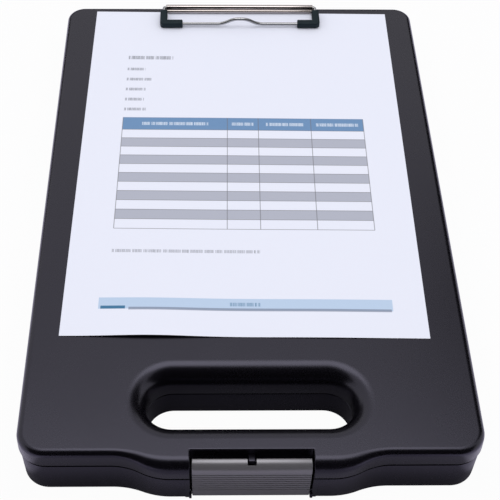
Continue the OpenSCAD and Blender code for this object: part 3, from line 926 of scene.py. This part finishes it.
@dataclass(frozen=True)
class HingeShape:
    """Knuckles of the two hinges at the rear wall."""

    x: float = 82.0
    y: float = 198.5
    z: float = 25.0
    radius: float = 3.4
    bore_r: float = 1.56
    lid_length: float = 14.0
    base_length: float = 9.0
    gap: float = 0.4
    wall_y: float = 192.7
    edge: float = 0.3

    def knuckle(self, middle: float, length: float, top: float | None = None) -> Skin:
        """A round knuckle with the tongue of plastic that ties it to the wall.

        The profile is a circle about the pin, opened where two straight lines run back to the wall.

        Args:
            middle: X of its middle.
            length: Length along the pin.
            top: Height of the tie's upper face; without it the tie lies above the pin, as on the lid.

        Returns:
            The closed skin.
        """
        if top is None:
            first, last, high, low = 180, 450, self.z + self.radius, self.z
        else:
            last = 180 - math.degrees(math.asin((top - self.z) / self.radius))
            first, high, low = -90, top, self.z - self.radius
        profile = np.vstack((arc((self.y, self.z), self.radius, first, last, 30),
                             [[self.wall_y, high], [self.wall_y, low]]))
        return bar(profile, middle - length / 2, middle + length / 2, self.edge)

    def lid_knuckles(self) -> list[Skin]:
        """The lid's knuckle at each hinge."""
        return [self.knuckle(s * self.x, self.lid_length) for s in (-1, 1)]

    def base_knuckles(self, top: float) -> list[Skin]:
        """The base's two knuckles at each hinge."""
        away = (self.lid_length + self.base_length) / 2 + self.gap
        return [self.knuckle(s * self.x + e * away, self.base_length, top) for s in (-1, 1) for e in (-1, 1)]

    def bore(self) -> Skin:
        """Cutter for the pins, through both hinges."""
        reach = self.x + self.lid_length / 2 + self.gap + self.base_length + OVERLAP
        return bar(circle((self.y, self.z), self.bore_r), -reach, reach)


@dataclass(frozen=True)
class Half:
    """What the lid and the base share: their plan, their hinges and the sizes of their inner side."""

    plan: CasePlan = CasePlan()
    hinge: HingeShape = HingeShape()
    housing: float = 2.2
    collar: float = 2.2
    lip: float = 0.3
    inner_fillet: float = 1.0

    def inner_rounds(self) -> Iterable[tuple[tuple[float, float], tuple[float, float]]]:
        """Steps of the fillet along the inner wall, each with that of the housing behind the notch."""
        return zip(quarter_round(self.inner_fillet, 4), quarter_round(self.lip, 4))


@dataclass(frozen=True)
class Lid(Half):
    """Upper half of the case: the writing face with its carrying hole, latch notch and clip recess."""

    top: float = 36.0
    rim: float = 25.0
    wall: float = 2.4
    edge: float = 3.8
    bulge_edge: float = 7.2
    draft: float = 0.15
    notch_back: float = -183.4
    notch_edge: float = 0.7
    fillet: float = 10.5
    collar_z: float = 18.0
    clip_front: float = 163.8
    clip_rear: float = 188.8
    clip_half: float = 53.4
    clip_corners: tuple[float, ...] = (3.0, 3.0, 0.2, 0.2)
    clip_gap: float = 0.4
    clip_depth: float = 1.0
    pad_z: float = 31.6
    pad_margin: float = 3.0
    pad_edge: float = 0.5
    rivet_x: float = 38.0
    rivet_y: float = 176.3
    rivet_r: float = 2.03
    nose_y: float = -189.8
    nose_z: float = 31.4
    nose_half: float = 1.9
    nose_height: float = 3.6
    nose_slope: float = 14.0
    nose_edge: float = 0.4
    notch_corner: float = 0.5
    support: float = 0.3

    def notch_inset(self, z: float) -> float:
        """How far the notch's upper edge is rounded back at a height: r - sqrt(r^2 - rise^2)."""
        rise = max(0.0, z - (self.top - self.notch_edge))
        return self.notch_edge - math.sqrt(max(0.0, self.notch_edge ** 2 - rise ** 2))

    def levels(self) -> list[Level]:
        """Rings from the ceiling down the inner wall, round the rim and up over the outer edge."""
        out, corner = self.plan.bulge_out, self.notch_corner
        ceiling, lip = self.top - self.wall, quarter_round(self.lip, 3)
        rings = [Level(self.wall + left, ceiling - done, self.housing + small_left, ceiling - small_done, out)
                 for (left, done), (small_left, small_done) in self.inner_rounds()]
        rings += [Level(self.wall - done, self.rim + left, self.housing - done, self.rim + left, out)
                  for left, done in lip]
        rings += [Level(left, self.rim + done, left, self.rim + done, out, corner) for left, done in lip]
        more, steps = self.bulge_edge - self.edge, self.plan.arc_steps
        for (left, done), (down, inward) in zip(quarter_round(self.edge, steps), quarter_round(more, steps)):
            z = self.top - left
            rings.append(Level(self.draft + done, z, self.notch_inset(z), z, out, corner, inward, down))
        rings.append(Level(self.draft + self.edge + self.support, self.top, self.notch_edge + self.support,
                           self.top, out, corner, more))
        return rings

    def hole_rings(self) -> list[tuple[float, float]]:
        """Pairs of growth and height from the writing face down the large fillet and back up the collar."""
        lip = quarter_round(self.lip, 3)
        inner = self.fillet - self.collar
        last = math.asin((self.fillet - self.wall) / inner)
        return [(self.fillet + self.support, self.top),
                *((left, self.top - done) for left, done in quarter_round(self.fillet, 20)),
                *((done, self.collar_z + left) for left, done in lip),
                *((self.collar - left, self.collar_z + done) for left, done in lip),
                *((self.fillet - inner * math.cos(a), self.top - self.fillet + inner * math.sin(a))
                  for a in np.linspace(0, last, 10))]

    def recess_outline(self, grow: float) -> Points:
        """Outline of the clip's plate, with rounded front corners, moved outwards."""
        x, y0, y1 = self.clip_half + grow, self.clip_front - grow, self.clip_rear + grow
        return rounded_polygon([(-x, y0), (x, y0), (x, y1), (-x, y1)], self.clip_corners, 8)

    def build(self) -> bpy.types.Object:
        """Builds the lid's mesh."""
        lid = self.plan.shell("lid_shell_moulded", self.levels(), self.notch_back, self.hole_rings())
        half, r = self.clip_half + self.pad_margin, self.nose_height / 2
        pad = block((-half, self.clip_front - self.pad_margin, self.pad_z),
                    (half, self.plan.rear - OVERLAP, self.top - self.wall / 2), self.pad_edge)
        slope = math.radians(self.nose_slope)
        root = self.notch_back + OVERLAP
        fall = (root - self.nose_y - r * (1 + math.sin(slope))) * math.tan(slope)
        nose = bar(np.vstack((arc((self.nose_y + r, self.nose_z), r, 90 - self.nose_slope, 270, 16),
                              [[root, self.nose_z - r], [root, self.nose_z + r * math.cos(slope) - fall]])),
                   -self.nose_half, self.nose_half, self.nose_edge)
        combine(lid, [pad, nose, *self.hinge.lid_knuckles()], Mix.JOIN)
        recess = plate(self.recess_outline(self.clip_gap), self.top - self.clip_depth, self.top + 3 * OVERLAP,
                       SHARP, 1)
        rivets = [plate(circle((s * self.rivet_x, self.rivet_y), self.rivet_r), self.pad_z - OVERLAP,
                        self.top, SHARP, 1) for s in (-1, 1)]
        combine(lid, [recess, *rivets, self.hinge.bore()], Mix.CUT)
        return lid


@dataclass(frozen=True)
class Base(Half):
    """Lower half of the case: the tray with its tongue, collar, sheet stop and latch ears."""

    top: float = 24.6
    tongue: float = 26.6
    rim_step: float = 0.8
    floor_inset: float = 1.4
    cavity: float = 3.8
    groove_h: float = 1.9
    groove_d: float = 1.2
    tongue_inset: float = 2.8
    floor: float = 2.2
    edge: float = 1.5
    bulge_low: float = 6.2
    recess_back: float = -186.9
    collar_top: float = 17.6
    stop_y: float = -121.4
    stop_t: float = 1.8
    stop_z: float = 18.2
    ear_r: float = 3.4
    ear_x: tuple[float, float] = (31.9, 33.3)
    ear_bore: float = 1.03
    ear_edge: float = 0.25
    stop_edge: float = 0.4
    ledge_lip: float = 0.15
    collar_fillet: float = 0.8
    notch_edge: float = 0.5
    notch_corner: float = 0.3
    chamfer: float = 0.2

    def levels(self) -> list[Level]:
        """Rings from the underside up the outer wall, over the tongue and down to the floor."""
        out, low, corner = self.plan.bulge_out, self.bulge_low, self.notch_corner
        rings = [Level(self.floor_inset + left, done, small_left, small_done, low, corner)
                 for (left, done), (small_left, small_done)
                 in zip(quarter_round(self.edge, 10), quarter_round(self.notch_edge, 10))]
        ledge, back = self.top - self.groove_h, self.rim_step + self.groove_d
        rings += [Level(self.rim_step + done, ledge - left, 0.0, ledge - left, out, corner)
                  for left, done in quarter_round(self.ledge_lip, 2)]
        # The groove, the rim and the tongue; beside the notch these rings lie side by side on the rim
        c, high, peak = self.chamfer, self.top, self.tongue
        rings += [Level(back, ledge, 0.0, ledge + c, out, corner),
                  Level(back, high - 0.1, 0.0, high - 0.3, out, corner),
                  Level(back + 0.1, high, 0.3, high, out, corner),
                  Level(self.tongue_inset, high, 0.6, high, out, 0.2),
                  Level(self.tongue_inset, peak - c, 0.8, high, out, 0.1),
                  Level(self.tongue_inset + c, peak, 1.2, high, out),
                  Level(self.cavity - c, peak, 1.9, high, low),
                  Level(self.cavity, peak - c, self.housing, high - c, low)]
        rings += [Level(self.cavity + done, self.floor + left, self.housing + small_done,
                        self.floor + small_left, low)
                  for (left, done), (small_left, small_done) in self.inner_rounds()]
        return rings

    def hole_rings(self) -> list[tuple[float, float]]:
        """Pairs of growth and height from the floor up the collar, over its lip and down to the underside."""
        lip, fillet = quarter_round(self.lip, 3), quarter_round(self.collar_fillet, 3)
        return [*((self.collar + left, self.floor + done) for left, done in fillet),
                *((self.collar - done, self.collar_top - left) for left, done in lip),
                *((left, self.collar_top - done) for left, done in lip),
                *((done, left) for left, done in quarter_round(self.edge, 10))]

    def build(self) -> bpy.types.Object:
        """Builds the base's mesh."""
        base = self.plan.shell("base_shell_moulded", self.levels(), self.recess_back, self.hole_rings())
        side = self.plan.width / 2 - self.cavity + OVERLAP
        stop = block((-side, self.stop_y, self.floor - OVERLAP),
                     (side, self.stop_y + self.stop_t, self.stop_z), self.stop_edge)
        ear = circle(PIVOT, self.ear_r)
        ears = [bar(ear, *sorted(s * x for x in self.ear_x), self.ear_edge) for s in (-1, 1)]
        combine(base, [stop, *ears, *self.hinge.base_knuckles(self.top)], Mix.JOIN)
        reach = self.plan.notch_half + self.housing + OVERLAP
        pin = bar(circle(PIVOT, self.ear_bore, 24), -reach, reach)
        combine(base, [pin, self.hinge.bore()], Mix.CUT)
        return base


@dataclass(frozen=True)
class Latch:
    """Grip latch in front: a barrel, a plate with grooves, and a curled upper edge with a slot."""

    half: float = 31.5
    barrel: float = 1.9
    curl_y: float = -188.8
    curl_z: float = 29.3
    curl_r: float = 5.5
    thickness: float = 2.2
    groove_count: int = 8
    groove_pitch: float = 2.55
    groove_r: float = 0.5
    groove_start: float = 6.6
    slot_half: float = 2.4
    slot_depth: float = 3.0
    pin_bore: float = 1.06
    bore_from: float = 26.2
    edge: float = 0.3

    def front_line(self) -> Points:
        """Front face from the curl down to the barrel, with a half-round dent at each groove.

        Along a groove the face is moved inwards by sqrt(r^2 - s^2), s being the distance from its middle.
        """
        top = np.array([self.curl_y - self.curl_r, self.curl_z])
        low = np.array([PIVOT[0] - self.barrel, PIVOT[1]])
        along = (low - top) / np.linalg.norm(low - top)
        inward = np.array([-along[1], along[0]])
        middles = PIVOT[1] + self.groove_start + self.groove_pitch * np.arange(self.groove_count)[::-1]
        at = (middles - top[1]) / along[1]
        s = self.groove_r * np.cos(np.radians(np.linspace(180, 0, 9)))
        depth = np.sqrt(np.clip(self.groove_r ** 2 - s ** 2, 0, None))
        way = (at[:, None] + s).ravel()
        dent = np.tile(depth, self.groove_count)
        return top + way[:, None] * along + dent[:, None] * inward

    def build(self) -> bpy.types.Object:
        """Builds the latch's mesh."""
        end_r = self.thickness / 2
        profile = np.vstack((
            arc((self.curl_y, self.curl_z), self.curl_r, 90, 180, 20),
            self.front_line(),
            arc(PIVOT, self.barrel, 180, 440, 36),
            arc((self.curl_y, self.curl_z), self.curl_r - self.thickness, 180, 90, 16),
            arc((self.curl_y, self.curl_z + self.curl_r - end_r), end_r, -90, 90, 8)[1:-1]))
        latch = bar(profile, -self.half, self.half, self.edge).to_object("latch_moulded", LATCH_ANGLE)
        slot = block((-self.slot_half, self.curl_y - self.slot_depth, self.curl_z + self.curl_r / 4),
                     (self.slot_half, self.curl_y + 4 * OVERLAP, self.curl_z + self.curl_r + 2 * OVERLAP),
                     self.edge)
        hole = circle(PIVOT, self.pin_bore, 24)
        bores = [bar(hole, *sorted((s * self.bore_from, s * (self.half + OVERLAP)))) for s in (-1, 1)]
        combine(latch, [slot, *bores], Mix.CUT, LATCH_ANGLE)
        return latch


# --- The clip and the form ---


@dataclass(frozen=True)
class Clip:
    """Sheet metal bracket whose upper edge is rolled round the wire, with a bead in front of the roll."""

    roll_r: float = 2.0
    bore_r: float = 1.21
    bead_y: float = 186.7
    bead_z: float = 37.7
    bead_r: float = 1.3
    web_front: float = 188.0
    thickness: float = 1.0
    plate_edge: float = 0.15
    head_r: float = 3.53
    sink: float = 0.95
    roll_edge: float = 0.35
    bead_edge: float = 0.3
    web_sunk: float = 0.5
    web_margin: float = 0.05
    link_half: float = 0.4
    link_margin: float = 0.12
    fold_edge: float = 0.1

    def build(self, lid: Lid) -> bpy.types.Object:
        """Builds the bracket's mesh."""
        half, y, z = lid.clip_half, *ROLL
        roll = bar(circle(ROLL, self.roll_r, 60), -half, half, self.roll_edge)
        bore = bar(circle(ROLL, self.bore_r), -half - OVERLAP, half + OVERLAP)
        bead = bar(circle((self.bead_y, self.bead_z), self.bead_r), -half, half, self.bead_edge)
        inside = (self.roll_r + self.bore_r) / 2
        front, rear, foot = self.web_front, lid.clip_rear, lid.top - self.web_sunk
        web = bar(np.array([[front, foot], [rear, foot], [rear, z - math.sqrt(inside ** 2 - (y - rear) ** 2)],
                            [front, z - math.sqrt(inside ** 2 - (y - front) ** 2)]]),
                  self.web_margin - half, half - self.web_margin, self.fold_edge)
        low, high, end = self.bead_z - self.link_half, self.bead_z + self.link_half, rear - self.web_margin
        link = bar(np.array([[self.bead_y, low], [end, low], [end, high], [self.bead_y, high]]),
                   self.link_margin - half, half - self.link_margin, self.fold_edge)
        slab = plate(lid.recess_outline(0.0), lid.top - self.thickness, lid.top, self.plate_edge, 2)
        bracket = slab.to_object("clip_bracket_rolled")
        combine(bracket, [web, link, bead, roll], Mix.JOIN)
        cone = ((lid.rivet_r, -2 * OVERLAP), (lid.rivet_r, -self.sink), (self.head_r, 0), (self.head_r, 0.5))
        sinks = [Skin.tube(np.stack([at_height(circle((s * lid.rivet_x, lid.rivet_y), r), lid.top + rise)
                                     for r, rise in cone])) for s in (-1, 1)]
        combine(bracket, [bore, *sinks], Mix.CUT)
        return bracket


@dataclass(frozen=True)
class Bail:
    """Wire bail with a finger lift, rubber caps on its corners and coil springs in the roll."""

    length: float = 18.35
    fall: float = 0.5
    wire_r: float = 1.15
    wire_ease: float = 0.005
    arm_x: float = 54.9
    elbow_r: float = 1.35
    trunnion_end: float = 21.55
    lift_height: float = 4.4
    lift_flat: float = 1.0
    lift_sweep: float = 16.0
    cap_w: float = 5.1
    cap_h: float = 4.3
    cap_front: float = 16.2
    cap_rear_gap: float = 4.6
    cap_corner: float = 3.0
    cap_edge: float = 0.8
    cap_crook: float = 0.35
    cap_ease: float = 0.05
    spring_gap: float = 0.4
    spring_apart: float = 6.3
    spring_wire_r: float = 0.225
    spring_turns: int = 26

    def placed(self, skin: Skin) -> Skin:
        """Turns a skin about the roll by the bail's rest angle and moves it to the roll."""
        turn = np.array(Matrix.Rotation(math.asin(self.fall / self.length), 3, "X"))
        skin.points = [p @ turn.T + [0, *ROLL] for p in skin.points]
        return skin

    def half_path(self) -> Points:
        """Right half of the wire's middle line, from the lift's crest to the end inside the roll.

        The lift's slope is two tangent arcs of equal radius; the corner and the elbow are quarter circles.
        """
        angle = 2 * math.atan(self.lift_height / self.lift_sweep)
        r = self.lift_sweep / (2 * math.sin(angle))
        deg = math.degrees(angle)
        foot = self.lift_flat / 2 + self.lift_sweep
        lift = np.vstack((arc((self.lift_flat / 2, self.lift_height - r), r, 90, 90 - deg, 10),
                          arc((foot, r), r, 270 - deg, 270, 10)[1:]))
        front = np.column_stack((lift[:, 0], np.full(len(lift), -self.length), lift[:, 1]))
        corner_r = self.cap_w / 2
        corner = arc((self.arm_x - corner_r, corner_r - self.length), corner_r, -90, 0, 8)
        elbow = arc((self.arm_x - self.elbow_r, -self.elbow_r), self.elbow_r, 0, 90, 8)
        level = np.vstack((corner, elbow, [[self.trunnion_end, 0.0]]))
        return np.vstack((front, at_height(level, 0.0)))

    def wire(self) -> bpy.types.Object:
        """Builds the wire."""
        half = self.half_path()
        path = np.vstack((half[::-1] * [-1, 1, 1], half))
        wire = sweep(path, self.wire_r - self.wire_ease, 20)
        return self.placed(wire).to_object("bail_wire_bent", ROUND_ANGLE)

    def cap(self, side: int, name: str) -> bpy.types.Object:
        """Builds one rubber corner cap: an L with rounded edges all round."""
        front = -self.length - self.cap_w / 2
        outer = self.arm_x + self.cap_w / 2
        inner = outer - self.cap_front
        corners = [(inner, front), (outer, front), (outer, -self.cap_rear_gap),
                   (outer - self.cap_w, -self.cap_rear_gap), (outer - self.cap_w, front + self.cap_w),
                   (inner, front + self.cap_w)]
        edge = self.cap_edge + self.cap_ease
        outline = rounded_polygon(corners, [edge, self.cap_corner, edge, edge, self.cap_crook, edge], 8)
        if side < 0:
            outline = outline[::-1] * [-1.0, 1.0]
        skin = plate(outline, -self.cap_h / 2, self.cap_h / 2, self.cap_edge, 5)
        return self.placed(skin).to_object(name, ROUND_ANGLE)

    def spring(self, side: int, name: str) -> bpy.types.Object:
        """Builds one coil spring: a helix about the roll, x rising evenly with the angle."""
        far = self.trunnion_end - self.spring_gap - self.spring_wire_r
        low = self.spring_apart / 2 + self.spring_wire_r
        t = np.linspace(0, 2 * np.pi * self.spring_turns, self.spring_turns * 14 + 1)
        r = self.wire_r - self.spring_wire_r
        x = side * (low + (far - low) * t / t[-1])
        path = np.column_stack((x, r * np.cos(t), r * np.sin(t)))
        out = np.column_stack((np.zeros_like(t), np.cos(t), np.sin(t)))
        across = np.cross(unit_tangents(path), out)
        rings = hoops(path, np.full(len(path), self.spring_wire_r), out, across, 6)
        return self.placed(Skin.tube(rings)).to_object(name, FINE_ANGLE)


@dataclass(frozen=True)
class FormSheet:
    """The loose printed form under the clip, with a slightly lifted front edge."""

    width: float = 210.0
    length: float = 297.0
    thickness: float = 0.16
    centre_x: float = -0.5
    rear_y: float = 187.1
    turn: float = -0.67
    rest_z: float = 36.04
    lift_from: float = 215.0
    free_from: float = 60.0
    free_over: float = 120.0
    waves: tuple[tuple[float, float, float], ...] = ((1.7, 52.0, 30.0), (0.35, 150.0, 34.0))
    ripple: float = 0.10
    columns: int = 106
    rows: int = 149

    def lift(self, u: Points, v: Points) -> Points:
        """Height of the sheet above the lid.

        Towards the front edge two broad waves, each height * exp(-((u - middle) / width) ** 2), rise with
        the square of the way; a faint slow ripple is added that vanishes under the clip.

        Args:
            u: Distance from the left edge.
            v: Distance from the rear edge.

        Returns:
            The height of the sheet's underside over its rest height.
        """
        near = np.clip((v - self.lift_from) / (self.length - self.lift_from), 0, 1) ** 2
        wave = sum(height * np.exp(-((u - middle) / width) ** 2) for height, middle, width in self.waves)
        free = np.clip((v - self.free_from) / self.free_over, 0, 1)
        return near * wave + self.ripple * free * (1 + np.sin(u / 23.0 + 0.6) * np.cos(v / 41.0 + 0.4))

    def build(self, printed: bpy.types.Material, plain: bpy.types.Material) -> bpy.types.Object:
        """Builds the sheet as a thin closed slab with a map that counts millimetres on both faces."""
        u, v = np.meshgrid(np.linspace(0, self.width, self.columns), np.linspace(0, self.length, self.rows))
        x, y = u - self.width / 2, self.length / 2 - v
        c, s = math.cos(math.radians(self.turn)), math.sin(math.radians(self.turn))
        px = self.centre_x + x * c - y * s
        py = self.rear_y - self.length / 2 + x * s + y * c
        under = np.stack((px, py, self.rest_z + self.lift(u, v)), -1)
        points = np.concatenate((under, under + [0, 0, self.thickness])).reshape(-1, 3)
        cols, count = self.columns, u.size
        at = np.arange(count).reshape(u.shape)[:-1, :-1].ravel()
        upper = np.column_stack((at, at + cols, at + cols + 1, at + 1)) + count
        lower = np.column_stack((at, at + 1, at + cols + 1, at + cols))
        rim = np.concatenate((np.arange(cols), np.arange(2 * cols - 1, count, cols),
                              np.arange(count - 2, count - cols - 1, -1),
                              np.arange(count - 2 * cols, 0, -cols)))
        ahead = np.roll(rim, -1)
        sides = np.column_stack((rim, rim + count, ahead + count, ahead))
        mesh = bpy.data.meshes.new("form_sheet_printed")
        mesh.from_pydata((points * MM).tolist(), [], np.vstack((upper, lower, sides)).tolist())
        for material in (printed, plain):
            mesh.materials.append(material)
        which = (np.arange(len(mesh.polygons)) >= len(upper)).astype(np.int32)
        mesh.polygons.foreach_set("material_index", which)
        corner = np.zeros(len(mesh.loops), np.int32)
        mesh.loops.foreach_get("vertex_index", corner)
        flat = np.column_stack((u.ravel(), v.ravel()))[corner % count]
        mesh.uv_layers.new(name="sheet_mm").data.foreach_set("uv", flat.astype(np.float32).ravel())
        sheet = place(mesh.name, mesh)
        shade(sheet, FINE_ANGLE)
        return sheet


# --- Studio ---


@dataclass(frozen=True)
class Viewpoint:
    """The camera: its place, its angles in degrees and the shift of its picture."""

    location: tuple[float, float, float] = (-22.51, -518.83, 573.58)
    azimuth: float = -1.3827
    elevation: float = 48.24
    roll: float = 0.9853
    focal: float = 85.826
    shift: tuple[float, float] = (0.044, -0.01224)
    sensor: float = 36.0
    clip: tuple[float, float] = (0.01, 50.0)

    def build(self) -> None:
        """Makes the camera from its right, upward and backward directions."""
        a, e, r = (math.radians(v) for v in (self.azimuth, self.elevation, self.roll))
        back = np.array([math.sin(a) * math.cos(e), -math.cos(a) * math.cos(e), math.sin(e)])
        right = np.array([math.cos(a), math.sin(a), 0.0])
        up = np.cross(back, right)
        x = math.cos(r) * right + math.sin(r) * up
        y = -math.sin(r) * right + math.cos(r) * up
        data = bpy.data.cameras.new("camera")
        data.sensor_width, data.lens = self.sensor, self.focal
        data.shift_x, data.shift_y = self.shift
        data.clip_start, data.clip_end = self.clip
        matrix = Matrix(np.column_stack((x, y, back)).tolist()).to_4x4()
        matrix.translation = Vector(self.location) * MM
        camera = place("camera", data)
        camera.matrix_world = matrix
        bpy.context.scene.camera = camera


@dataclass(frozen=True)
class Card:
    """A soft light or a dark card: its middle, its size in metres and what it is turned towards."""

    name: str
    middle: tuple[float, float, float]
    size: tuple[float, float]
    target: tuple[float, float, float]
    power: float = 0.0

    def put(self, data: bpy.types.ID) -> bpy.types.Object:
        """Makes the object, with its -Z turned towards the target."""
        turn = (Vector(self.target) - Vector(self.middle)).to_track_quat("-Z", "Y")
        obj = place(self.name, data)
        obj.matrix_world = Matrix.Translation(self.middle) @ turn.to_matrix().to_4x4()
        return obj

    def light(self) -> None:
        """Makes an area light."""
        data = bpy.data.lights.new(self.name, "AREA")
        data.shape = "RECTANGLE"
        data.size, data.size_y, data.energy = *self.size, self.power
        self.put(data)

    def dark(self) -> None:
        """Makes a dark card that only reflections see."""
        paint = Paint(self.name)
        paint.set(Base_Color=(0.004, 0.004, 0.004, 1), Roughness=1.0, Specular_IOR_Level=0.0)
        card = self.put(rectangle(self.name, *self.size))
        card.data.materials.append(paint.material)
        for ray in ("camera", "diffuse", "shadow", "transmission", "volume_scatter"):
            setattr(card, f"visible_{ray}", False)


@dataclass(frozen=True)
class Studio:
    """Pale floor, white surroundings for camera and reflections, and soft lights.

    Attributes:
        floor_size: Side of the floor in metres.
        floor_depth: How far the floor lies below the case.
        floor_shadow: Share of the floor's own shading that the camera sees.
        floor_mirrored: How white the floor is to reflections.
        painted_shadow_grey: The floor's grey at the case, darker as a painted shadow that reflections see.
        floor_far: The floor's grey away from the case.
        painted_shadow_box: Half sizes of the case's footprint in X and Y, round which the shadow is painted.
        painted_shadow_width: How far the painted shadow round the footprint reaches.
        painted_side_light: Painted light added to the grey beside the case, which the camera does not see.
        painted_side_light_width: Over what distance that painted light rises.
        floor_tint: Colour that the grey is multiplied by.
        world_light: Strength of the surroundings where they only light.
        lamps: The soft lights.
        cards: The dark cards.
    """

    floor_size: float = 6.0
    floor_depth: float = 0.0002
    floor_shadow: float = 0.03
    floor_mirrored: float = 0.02
    painted_shadow_grey: float = 0.19
    floor_far: float = 0.48
    painted_shadow_box: tuple[float, float] = (0.125, 0.188)
    painted_shadow_width: float = 0.024
    painted_side_light: float = 0.55
    painted_side_light_width: float = 0.006
    floor_tint: Colour = (0.98, 0.93, 1.16)
    world_light: float = 0.86
    lamps: tuple[Card, ...] = (
        Card("light_top", (0.0, 0.235, 1.685), (1.0, 0.95), (0.0, 0.0, 0.0), 7.2),
    )
    cards: tuple[Card, ...] = (
        Card("card_front", (0.0, -1.30, 0.965), (5.0, 2.52), (0.0, -0.15, 0.0)),
        Card("card_right", (1.36, 1.05, 1.15), (1.5, 1.7), (0.1, 0.0, 0.0)),
        Card("card_rear", (0.0, 1.90, 0.42), (5.0, 0.80), (0.0, 0.19, 0.42)),
    )

    def build(self) -> None:
        """Makes the floor, the world, the lamps and the cards."""
        self.floor()
        self.world()
        for lamp in self.lamps:
            lamp.light()
        for card in self.cards:
            card.dark()

    def floor(self) -> None:
        """Makes the floor: white to the camera, apart from a share that keeps the shadow.

        Reflections see a little of the white and mostly the floor's grey, with its painted shadow and light.
        """
        material = bpy.data.materials.new("floor_pale")
        material.use_nodes = True
        g = Graph(material.node_tree)
        g.tree.nodes.clear()
        diffuse, glow = g.node("ShaderNodeBsdfDiffuse"), g.node("ShaderNodeEmission")
        g.feed(diffuse, Color=self.painted_shadow_and_side_light(g))
        g.feed(glow, Color=WHITE)
        white = g.math("MULTIPLY", self.seen(g, self.floor_mirrored), 1.0 - self.floor_shadow)
        self.mix(g, white, diffuse, glow, "ShaderNodeOutputMaterial")
        floor = place("floor", rectangle("floor", self.floor_size, self.floor_size, -self.floor_depth))
        floor.data.materials.append(material)

    def painted_shadow_and_side_light(self, g: Graph) -> bpy.types.NodeSocket:
        """Floor colour: painted shadow on the last stretch up to the case, painted light beside it unless
        seen.
        """
        axes = g.split(g.node("ShaderNodeTexCoord").outputs["Object"])
        outside = [g.math("SUBTRACT", g.math("ABSOLUTE", axes[axis]), half)
                   for axis, half in zip("XY", self.painted_shadow_box)]
        # Painted shadow: the floor's grey darkens over the last stretch up to the case's footprint
        painted_shadow_ramp = g.remap(g.math("MAXIMUM", *outside), 0.0, self.painted_shadow_width, self.painted_shadow_grey, self.floor_far)
        # Painted light: the floor beside the case is lighter, for every ray but the camera's
        side = g.remap(outside[0], 0.0, self.painted_side_light_width, 0.0, self.painted_side_light)
        unseen = g.math("SUBTRACT", 1.0, g.node("ShaderNodeLightPath").outputs["Is Camera Ray"])
        grey = g.node("ShaderNodeVectorMath", operation="SCALE")
        g.feed(grey, Vector=self.floor_tint, Scale=g.math("MULTIPLY_ADD", side, unseen, painted_shadow_ramp))
        return grey.outputs[0]

    @staticmethod
    def seen(g: Graph, mirrored: float) -> bpy.types.NodeSocket:
        """One for camera and transmission rays, mirrored for glossy rays and zero for the others."""
        rays = g.node("ShaderNodeLightPath").outputs
        glossy = g.math("MULTIPLY", rays["Is Glossy Ray"], mirrored)
        either = g.math("MAXIMUM", rays["Is Camera Ray"], glossy)
        return g.math("MAXIMUM", either, rays["Is Transmission Ray"])

    @staticmethod
    def mix(g: Graph, factor: bpy.types.NodeSocket, low: bpy.types.Node, high: bpy.types.Node,
            output: str) -> None:
        """Mixes two shaders by a factor and feeds the tree's output with the result."""
        made = g.node("ShaderNodeMixShader")
        g.fill(made.inputs, (factor, low.outputs[0], high.outputs[0]))
        g.link(made.outputs[0], g.node(output).inputs["Surface"])

    def world(self) -> None:
        """Makes the surroundings: white where they are seen, a plain grey light elsewhere."""
        world = bpy.data.worlds.new("surroundings")
        world.use_nodes = True
        g = Graph(world.node_tree)
        g.tree.nodes.clear()
        plain, white = g.node("ShaderNodeBackground"), g.node("ShaderNodeBackground")
        for made, strength in ((plain, self.world_light), (white, 1.0)):
            g.feed(made, Color=WHITE, Strength=strength)
        self.mix(g, self.seen(g, 1.0), plain, white, "ShaderNodeOutputWorld")
        bpy.context.scene.world = world


# --- Putting it together ---


def dress_small_parts(effects: Effects) -> None:
    """Gives the pins, rivets and washers that keep their solids' shapes a steel finish."""
    steel = STEEL.build(effects)
    for kind in ("hinge_pin", "latch_pin", "clip_rivet", "clip_washer"):
        for side in ("left", "right"):
            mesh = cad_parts[f"{kind}_{side}"].data
            mesh.materials.clear()
            mesh.materials.append(steel)
            LOG.info("%s_%s: kept, steel", kind, side)


def main() -> None:
    """Builds the finishes, the sub-assemblies in order, and the studio."""
    logging.basicConfig(level=logging.INFO, format="%(name)s: %(message)s")
    bpy.context.scene.view_settings.view_transform = "Standard"
    Viewpoint().build()
    effects = Effects.build()
    case = CASE_PLASTIC.build(effects)
    rubber = RUBBER.build(effects)
    lid, bail = Lid(), Bail()
    settle(Base().build(), Body.BASE, case, "base_shell")
    settle(lid.build(), Body.LID, case, "lid_shell")
    settle(Latch().build(), Body.LATCH, LATCH_PLASTIC.build(effects), "latch")
    settle(Clip().build(lid), Body.LID, CHROME.build(effects), "clip_bracket")
    settle(bail.wire(), Body.BAIL, WIRE_CHROME.build(effects), "bail_wire")
    springs = SPRING_STEEL.build(effects)
    for side, word in ((-1, "left"), (1, "right")):
        cap, spring = f"bail_cap_{word}", f"bail_spring_{word}"
        settle(bail.cap(side, f"{cap}_moulded"), Body.BAIL, rubber, cap)
        settle(bail.spring(side, f"{spring}_coil"), Body.LID, springs, spring)
    sheet = FormSheet().build(PrintedForm().build(effects), PlainPaper().build(effects))
    settle(sheet, Body.LID, None, "form_sheet")
    dress_small_parts(effects)
    Studio().build()


if __name__ == "__main__":
    main()
